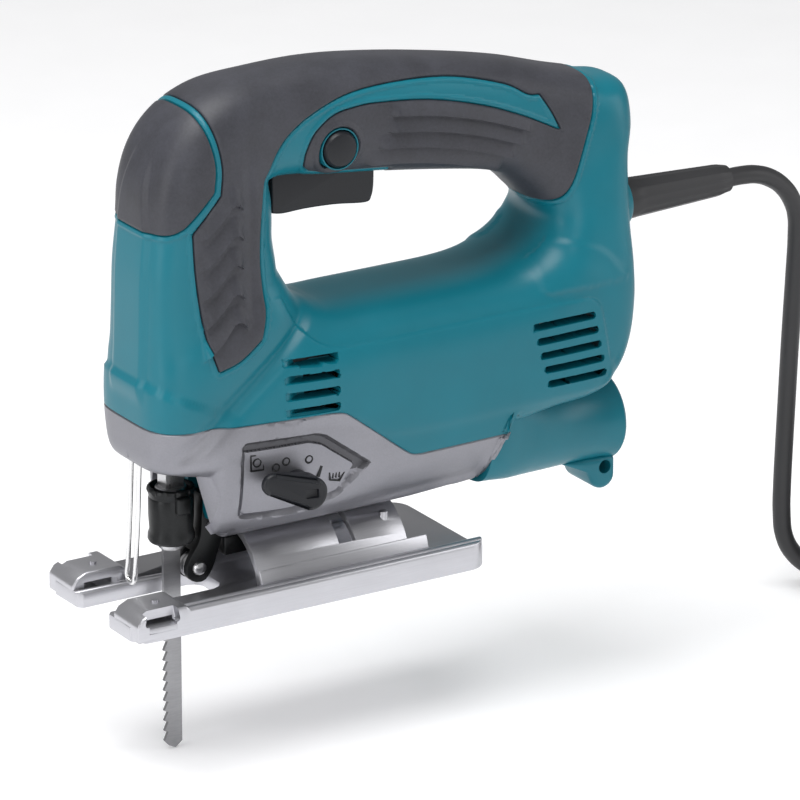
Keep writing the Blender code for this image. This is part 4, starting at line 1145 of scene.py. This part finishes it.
# %% the saddle
SADDLE_X = (-19.5, 48.0)
high = arc(0, TILT_Z, SADDLE_R, 12, 168, 40)
low = arc(0, TILT_Z, SADDLE_R - 3.0, 168, 12, 40)
saddle = outline("saddle", "YZ", [(y, max(z, DECK_TOP + 0.3)) for y, z in high + low], *SADDLE_X)
cut(saddle, block("tilt_slot", (18.2, -21.5, 10), (25.8, 21.5, 40)))
add(saddle, drum("stud", "Z", (41.5, -16.5, 0), 20.5, 25.0, 1.7, 24))
finished(rounded(saddle, 0.5, 2, 40), "base", "steel", PRESSED, "tilt_saddle")

# %% [markdown]
# ## The dust port
# Behind the alloy the casing flows down into a tube for a vacuum hose. It is bridged from a row of rounded sections:
# boxy where it leaves the alloy's slanted end, and round with a flared lip at its mouth.


# %% bridge a row of rings
def bridged(name, rings):
    """Joins rings of the same number of points, one after another, and closes both ends."""
    mesh = bpy.data.meshes.new(name)
    count = len(rings[0])
    points = [tuple(Vector(p) * MM) for ring in rings for p in ring]
    ends = [(r * count + i, r * count + (i + 1) % count) for r in range(len(rings)) for i in range(count)]
    mesh.from_pydata(points, ends, [])
    obj = placed(name, mesh)
    only(obj)
    bpy.ops.object.mode_set(mode="EDIT")
    bm = bmesh.from_edit_mesh(mesh)
    bm.verts.ensure_lookup_table()
    for r in range(len(rings) - 1):
        for i in range(count):
            j = (i + 1) % count
            a, b = r * count, (r + 1) * count
            bm.faces.new((bm.verts[a + i], bm.verts[a + j], bm.verts[b + j], bm.verts[b + i]))
    bmesh.update_edit_mesh(mesh)
    bpy.ops.mesh.select_all(action="DESELECT")
    bpy.ops.mesh.select_mode(type="EDGE")
    bpy.ops.mesh.select_non_manifold(extend=False)
    bpy.ops.mesh.edge_face_add()
    return closed(obj)


def squircle(x, y, z, half_y, half_z, square, lean=0.0, count=64):
    """A rounded ring across X; lean moves its upper side towards the cord and its lower side away from it."""
    ring = []
    for k in range(count):
        angle = math.tau * k / count
        c, s = math.cos(angle), math.sin(angle)
        up = math.copysign(abs(s) ** (2 / square), s)
        ring.append((x + lean * up, y + half_y * math.copysign(abs(c) ** (2 / square), c), z + half_z * up))
    return ring


# %% the dust port
# x, half width, middle z, half height, how square, and how far it leans
PORT_RINGS = [(86.0, 28.6, 48.6, 18.2, 6.0, 5.4), (91.0, 28.6, 47.8, 18.0, 5.4, 5.6), (99, 26.6, 45.6, 18.0, 4.4, 4.6),
              (110, 22.4, 43.0, 18.2, 3.0, 3.0), (120, 19.8, 41.0, 17.6, 2.5, 1.4), (130, 17.8, 39.8, 17.2, 2.2, 0.4),
              (140, 17.2, 39.2, 17.0, 2.05, 0.0), (147, 17.3, 39.0, 17.2, 2.0, 0.0)]
# the round end of the tube and its hollow: x and radius
PORT_END = [(151.5, 17.9), (153.4, 18.1), (154.4, 17.4), (154.4, 15.2), (152.5, 14.2), (124, 13.4)]
PORT_RINGS += [(x, r, 39.0, r, 2.0, 0.0) for x, r in PORT_END]
port = bridged("dust_tube", [squircle(x, 0, z, hy, hz, n, lean) for x, hy, z, hz, n, lean in PORT_RINGS])
lobe = outline("lobe", "XZ", [(128, 25), (141, 18.6)] + arc(148.2, 16.6, 5.7, 195, 360, 12) + [(153.9, 25)],
               -11, 11)
rounded(lobe, 2.6, 4, 40)
cut(lobe, drum("eye", "Y", (148.6, 0, 20.4), -12, 12, 2.8, 24))
add(port, lobe)
finished(port, "tool_body", "teal", TEAL, "dust_port", angle=35)
duct = bridged("inner_duct", [squircle(x, 0, z, hy, hz, 4.0) for x, hy, z, hz in (
    (-33.6, 7.0, 47.5, 12.0), (-32.6, 9.8, 47.0, 14.0), (-27, 10.6, 46, 16.0), (-16, 10.6, 46, 16.0))])
cut(duct, block("duct_slot", (-34, -5.6, 20), (-10, 5.6, 57)))
finished(duct, "tool_body", "teal", TEAL)

# %% [markdown]
# ## The cord
# The cord leaves the rear through a tapered guard, runs straight for a few diameters, hangs down behind the tool and
# is put away in a round coil on the same surface, with the plug on top. It is 2.5 m long, as such a tool's is.

# %% the gland and the guard
CORD_Z, CORD_D = 127.0, 7.5
gland = turned("gland_collar", "X", (0, 0, CORD_Z), [
    (154.9, 8.5), (160.4, 8.5), (161.4, 9.2), (161.2, 10.6), (159.4, 11.8), (156.5, 12.3), (154.9, 12.4)], 64)
finished(gland, "tool_body", "teal", TEAL, "cord_gland")
guard_rings = []
for k in range(30):
    x = 154.9 + k * (212.4 - 154.9) / 29
    radius = np.interp(x, [154.9, 166, 190, 208, 212.4], [8.2, 8.2, 7.2, 6.4, 5.4])
    ring = []
    for i in range(96):
        angle = math.tau * i / 96
        flute = 0.35 * abs(math.cos(angle * 6)) if x > 168 and k < 29 else 0.0
        ring.append((x, (radius - flute) * math.cos(angle), CORD_Z + (radius - flute) * math.sin(angle)))
    guard_rings.append(ring)
guard = bridged("guard_sleeve", guard_rings)
finished(guard, "tool_body", "pvc", PVC, "cord_guard", angle=50)

# %% the cord's route, its coil and its end
CORD_ROUTE = [
    (213.3, 0, 127), (219.5, 0, 127), (227.4, 0.2, 126), (234.8, 0.6, 122.9), (241.1, 1.3, 118.1), (245.9, 2.0, 111.8),
    (249.0, 2.8, 104.4), (250.1, 3.8, 95), (250.3, 5, 80), (250.3, 6.4, 62), (250.3, 7.8, 42), (250.3, 9, 22),
    (250.3, 10.2, 2), (250.3, 11, -14), (250.6, 11.4, -27.1), (252.4, 11.8, -37.6), (257.8, 12, -46.8),
    (265.7, 12, -53.6), (273.1, 12, -56.7), (281.5, 12, -57.7),
]
COIL_X, COIL_Y, COIL_R = 320.0, -30.0, 42.0
LAYER = 7.6
BOTTOM = FLOOR_Z + CORD_D / 2 + 0.05
# which place across and which layer each turn of the coil has
TURNS = [(0, 0), (-1, 0), (-1, 1), (-1, 2), (0, 1), (1, 0), (1, 1), (0, 2), (1, 2)]
STEPS = 24  # route points on each turn


def coil_points(last_angle):
    """Turns that wind clockwise, each moving to its next place in its last third."""
    made = []
    total = len(TURNS) * STEPS + round(last_angle / math.tau * STEPS)
    for k in range(total + 1):
        turn, part = divmod(k, STEPS)
        here = TURNS[min(turn, len(TURNS) - 1)]
        after = TURNS[min(turn + 1, len(TURNS) - 1)]
        share = float(smooth_step(np.array(part / STEPS), 0.55, 1.0))
        across = here[0] + (after[0] - here[0]) * share
        layer = here[1] + (after[1] - here[1]) * share
        angle = math.pi / 2 - math.tau * k / STEPS
        radius = COIL_R + LAYER * across
        made.append((COIL_X + radius * math.cos(angle), COIL_Y + radius * math.sin(angle), BOTTOM + LAYER * layer))
    return made


def drawn(name, points, radius, roundness, steps):
    """A smooth curve through the points, with a round section."""
    line = bpy.data.curves.new(f"{name}_line", "CURVE")
    line.dimensions = "3D"
    line.bevel_depth = radius * MM
    line.bevel_resolution = roundness
    line.resolution_u = steps
    line.use_fill_caps = True
    spline = line.splines.new("BEZIER")
    spline.bezier_points.add(len(points) - 1)
    for point, where in zip(spline.bezier_points, points, strict=True):
        point.co = Vector(where) * MM
        point.handle_left_type = point.handle_right_type = "AUTO"
    return placed(name, line)


cord_points = CORD_ROUTE + [(294, 12, BOTTOM), (307, 12, BOTTOM)] + coil_points(math.radians(-300))
cord_points += [(369.8, -17, BOTTOM + 18.5), (372.2, -31, BOTTOM + 22.5), (369.2, -45, BOTTOM + 27.5),
                (361, -56.5, BOTTOM + 31.5), (350.5, -63.6, -25), (340, -66, -25)]
flex = drawn("mains_flex", cord_points, CORD_D / 2, 6, 4)
flex.data.materials.append(PVC.made)
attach(flex, "tool_body")
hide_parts("power_cord", "cord_coil")
print("cord points:", len(cord_points))

# %% the plug and its pins
PLUG = (290.0, -66.0, -25.0)
plug_rings = []
for d, half_y, half_z, square, off in ((0, 14.2, 10.2, 3.0, 0), (0.8, 15.6, 11.4, 3.0, 0), (3, 16.8, 12.3, 3.0, 0),
                                       (20, 16.8, 12.3, 3.0, 0), (24, 16.0, 11.8, 3.0, 0), (30, 12.6, 10.2, 2.8, 0),
                                       (36, 9.2, 8.4, 2.5, 0), (42, 7.2, 6.9, 2.2, 0.3), (50, 6.2, 6.1, 2.0, 0.9),
                                       (58, 5.4, 5.4, 2.0, 1.6), (60, 4.9, 4.9, 2.0, 1.8)):
    plug_rings.append(squircle(PLUG[0] + d, PLUG[1] + off, PLUG[2], half_y, half_z, square, 0.0, 48))
plug = bridged("plug_body", plug_rings)
for k in range(4):
    near, far = PLUG[0] + 43 + 3.4 * k, PLUG[0] + 44.2 + 3.4 * k
    cut(plug, turned("rib_cut", "X", (0, PLUG[1], PLUG[2]), [(near, 5.4), (far, 5.4), (far, 9), (near, 9)], 32))
finished(plug, "tool_body", "black", BLACK, "mains_plug", angle=40)
for number, side in ((1, -9.5), (2, 9.5)):
    pin = turned(f"pin_{number}", "X", (0, PLUG[1] + side, PLUG[2]), [
        (270.8, 0), (270.8, 1.4), (271.6, 2.2), (272.6, 2.4), (289.7, 2.4), (289.7, 0)], 32)
    finished(pin, "tool_body", "brass", BRASS, f"plug_pin_{number}")

# %% the wire guard in front of the blade
down = [(-60, -3, 60.5), (-60.3, -3, 54), (-60.8, -3, 42), (-61.6, -3, 28), (-62.3, -3, 17)]
bend = [(-62.7, -3 * math.cos(a), 14 - 2.7 * math.sin(a)) for a in (0.0, 0.5, 1.05, math.pi / 2, 2.1, 2.64, math.pi)]
wire_points = down + bend + [(x, -y, z) for x, y, z in down[::-1]]
loop = drawn("wire_loop", wire_points, 1.0, 4, 12)
only(loop)
bpy.ops.object.convert(target="MESH")
finished(loop, "tool_body", "steel", WIRE, "wire_guard", angle=60)

# %% screws on the right side
for number, (x, z) in enumerate(SCREWS):
    profile = [(9.2, 0), (9.2, 1.6), (11.3, 1.6), (11.3, 3.3), (12.6, 3.3), (13.5, 2.6), (13.8, 1.6), (13.8, 0)]
    screw = turned(f"screw_head_{number + 1}", "Y", (x, 0, z), profile, 40)
    star = [arc(x, z, 1.5 if k % 2 else 1.05, 30 * k, 30 * k, 1)[0] for k in range(12)]
    cut(screw, outline("star", "XZ", star, 12.2, 16))
    finished(screw, "tool_body", "steel", STEEL, f"housing_screw_{number + 1}")

# %% [markdown]
# ## Pieces that keep the CAD's shape
# The motor, the gears and the pins inside are already right, so they only get their finish. A CAD node's mesh is never
# changed: its material slot is.

# %% finishes for the CAD nodes
FINISH_OF = {
    "steel": STEEL, "alloy": ALLOY, "black": BLACK, "black_steel": BLACKED, "copper": COPPER, "brass": BRASS,
    "carbon": CARBON, "pvc": PVC, "teal": TEAL, "rubber": RUBBER,
}
SPECIAL = {"blade": BLADE}
slot_of = {part["node"]: part["material_slot"] for part in frame["record"]["subparts"]}
for name, node in nodes.items():
    if node.hide_render:
        continue
    finish = SPECIAL.get(name) or FINISH_OF[slot_of.get(name, "steel")]
    node.data.materials.clear()
    node.data.materials.append(finish.made)
print("CAD nodes shown:", sum(not n.hide_render for n in nodes.values()))

# %% the sizes, and the end
low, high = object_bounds()
print("visual box in mm:", [round(v / MM, 1) for v in (*low, *high)])
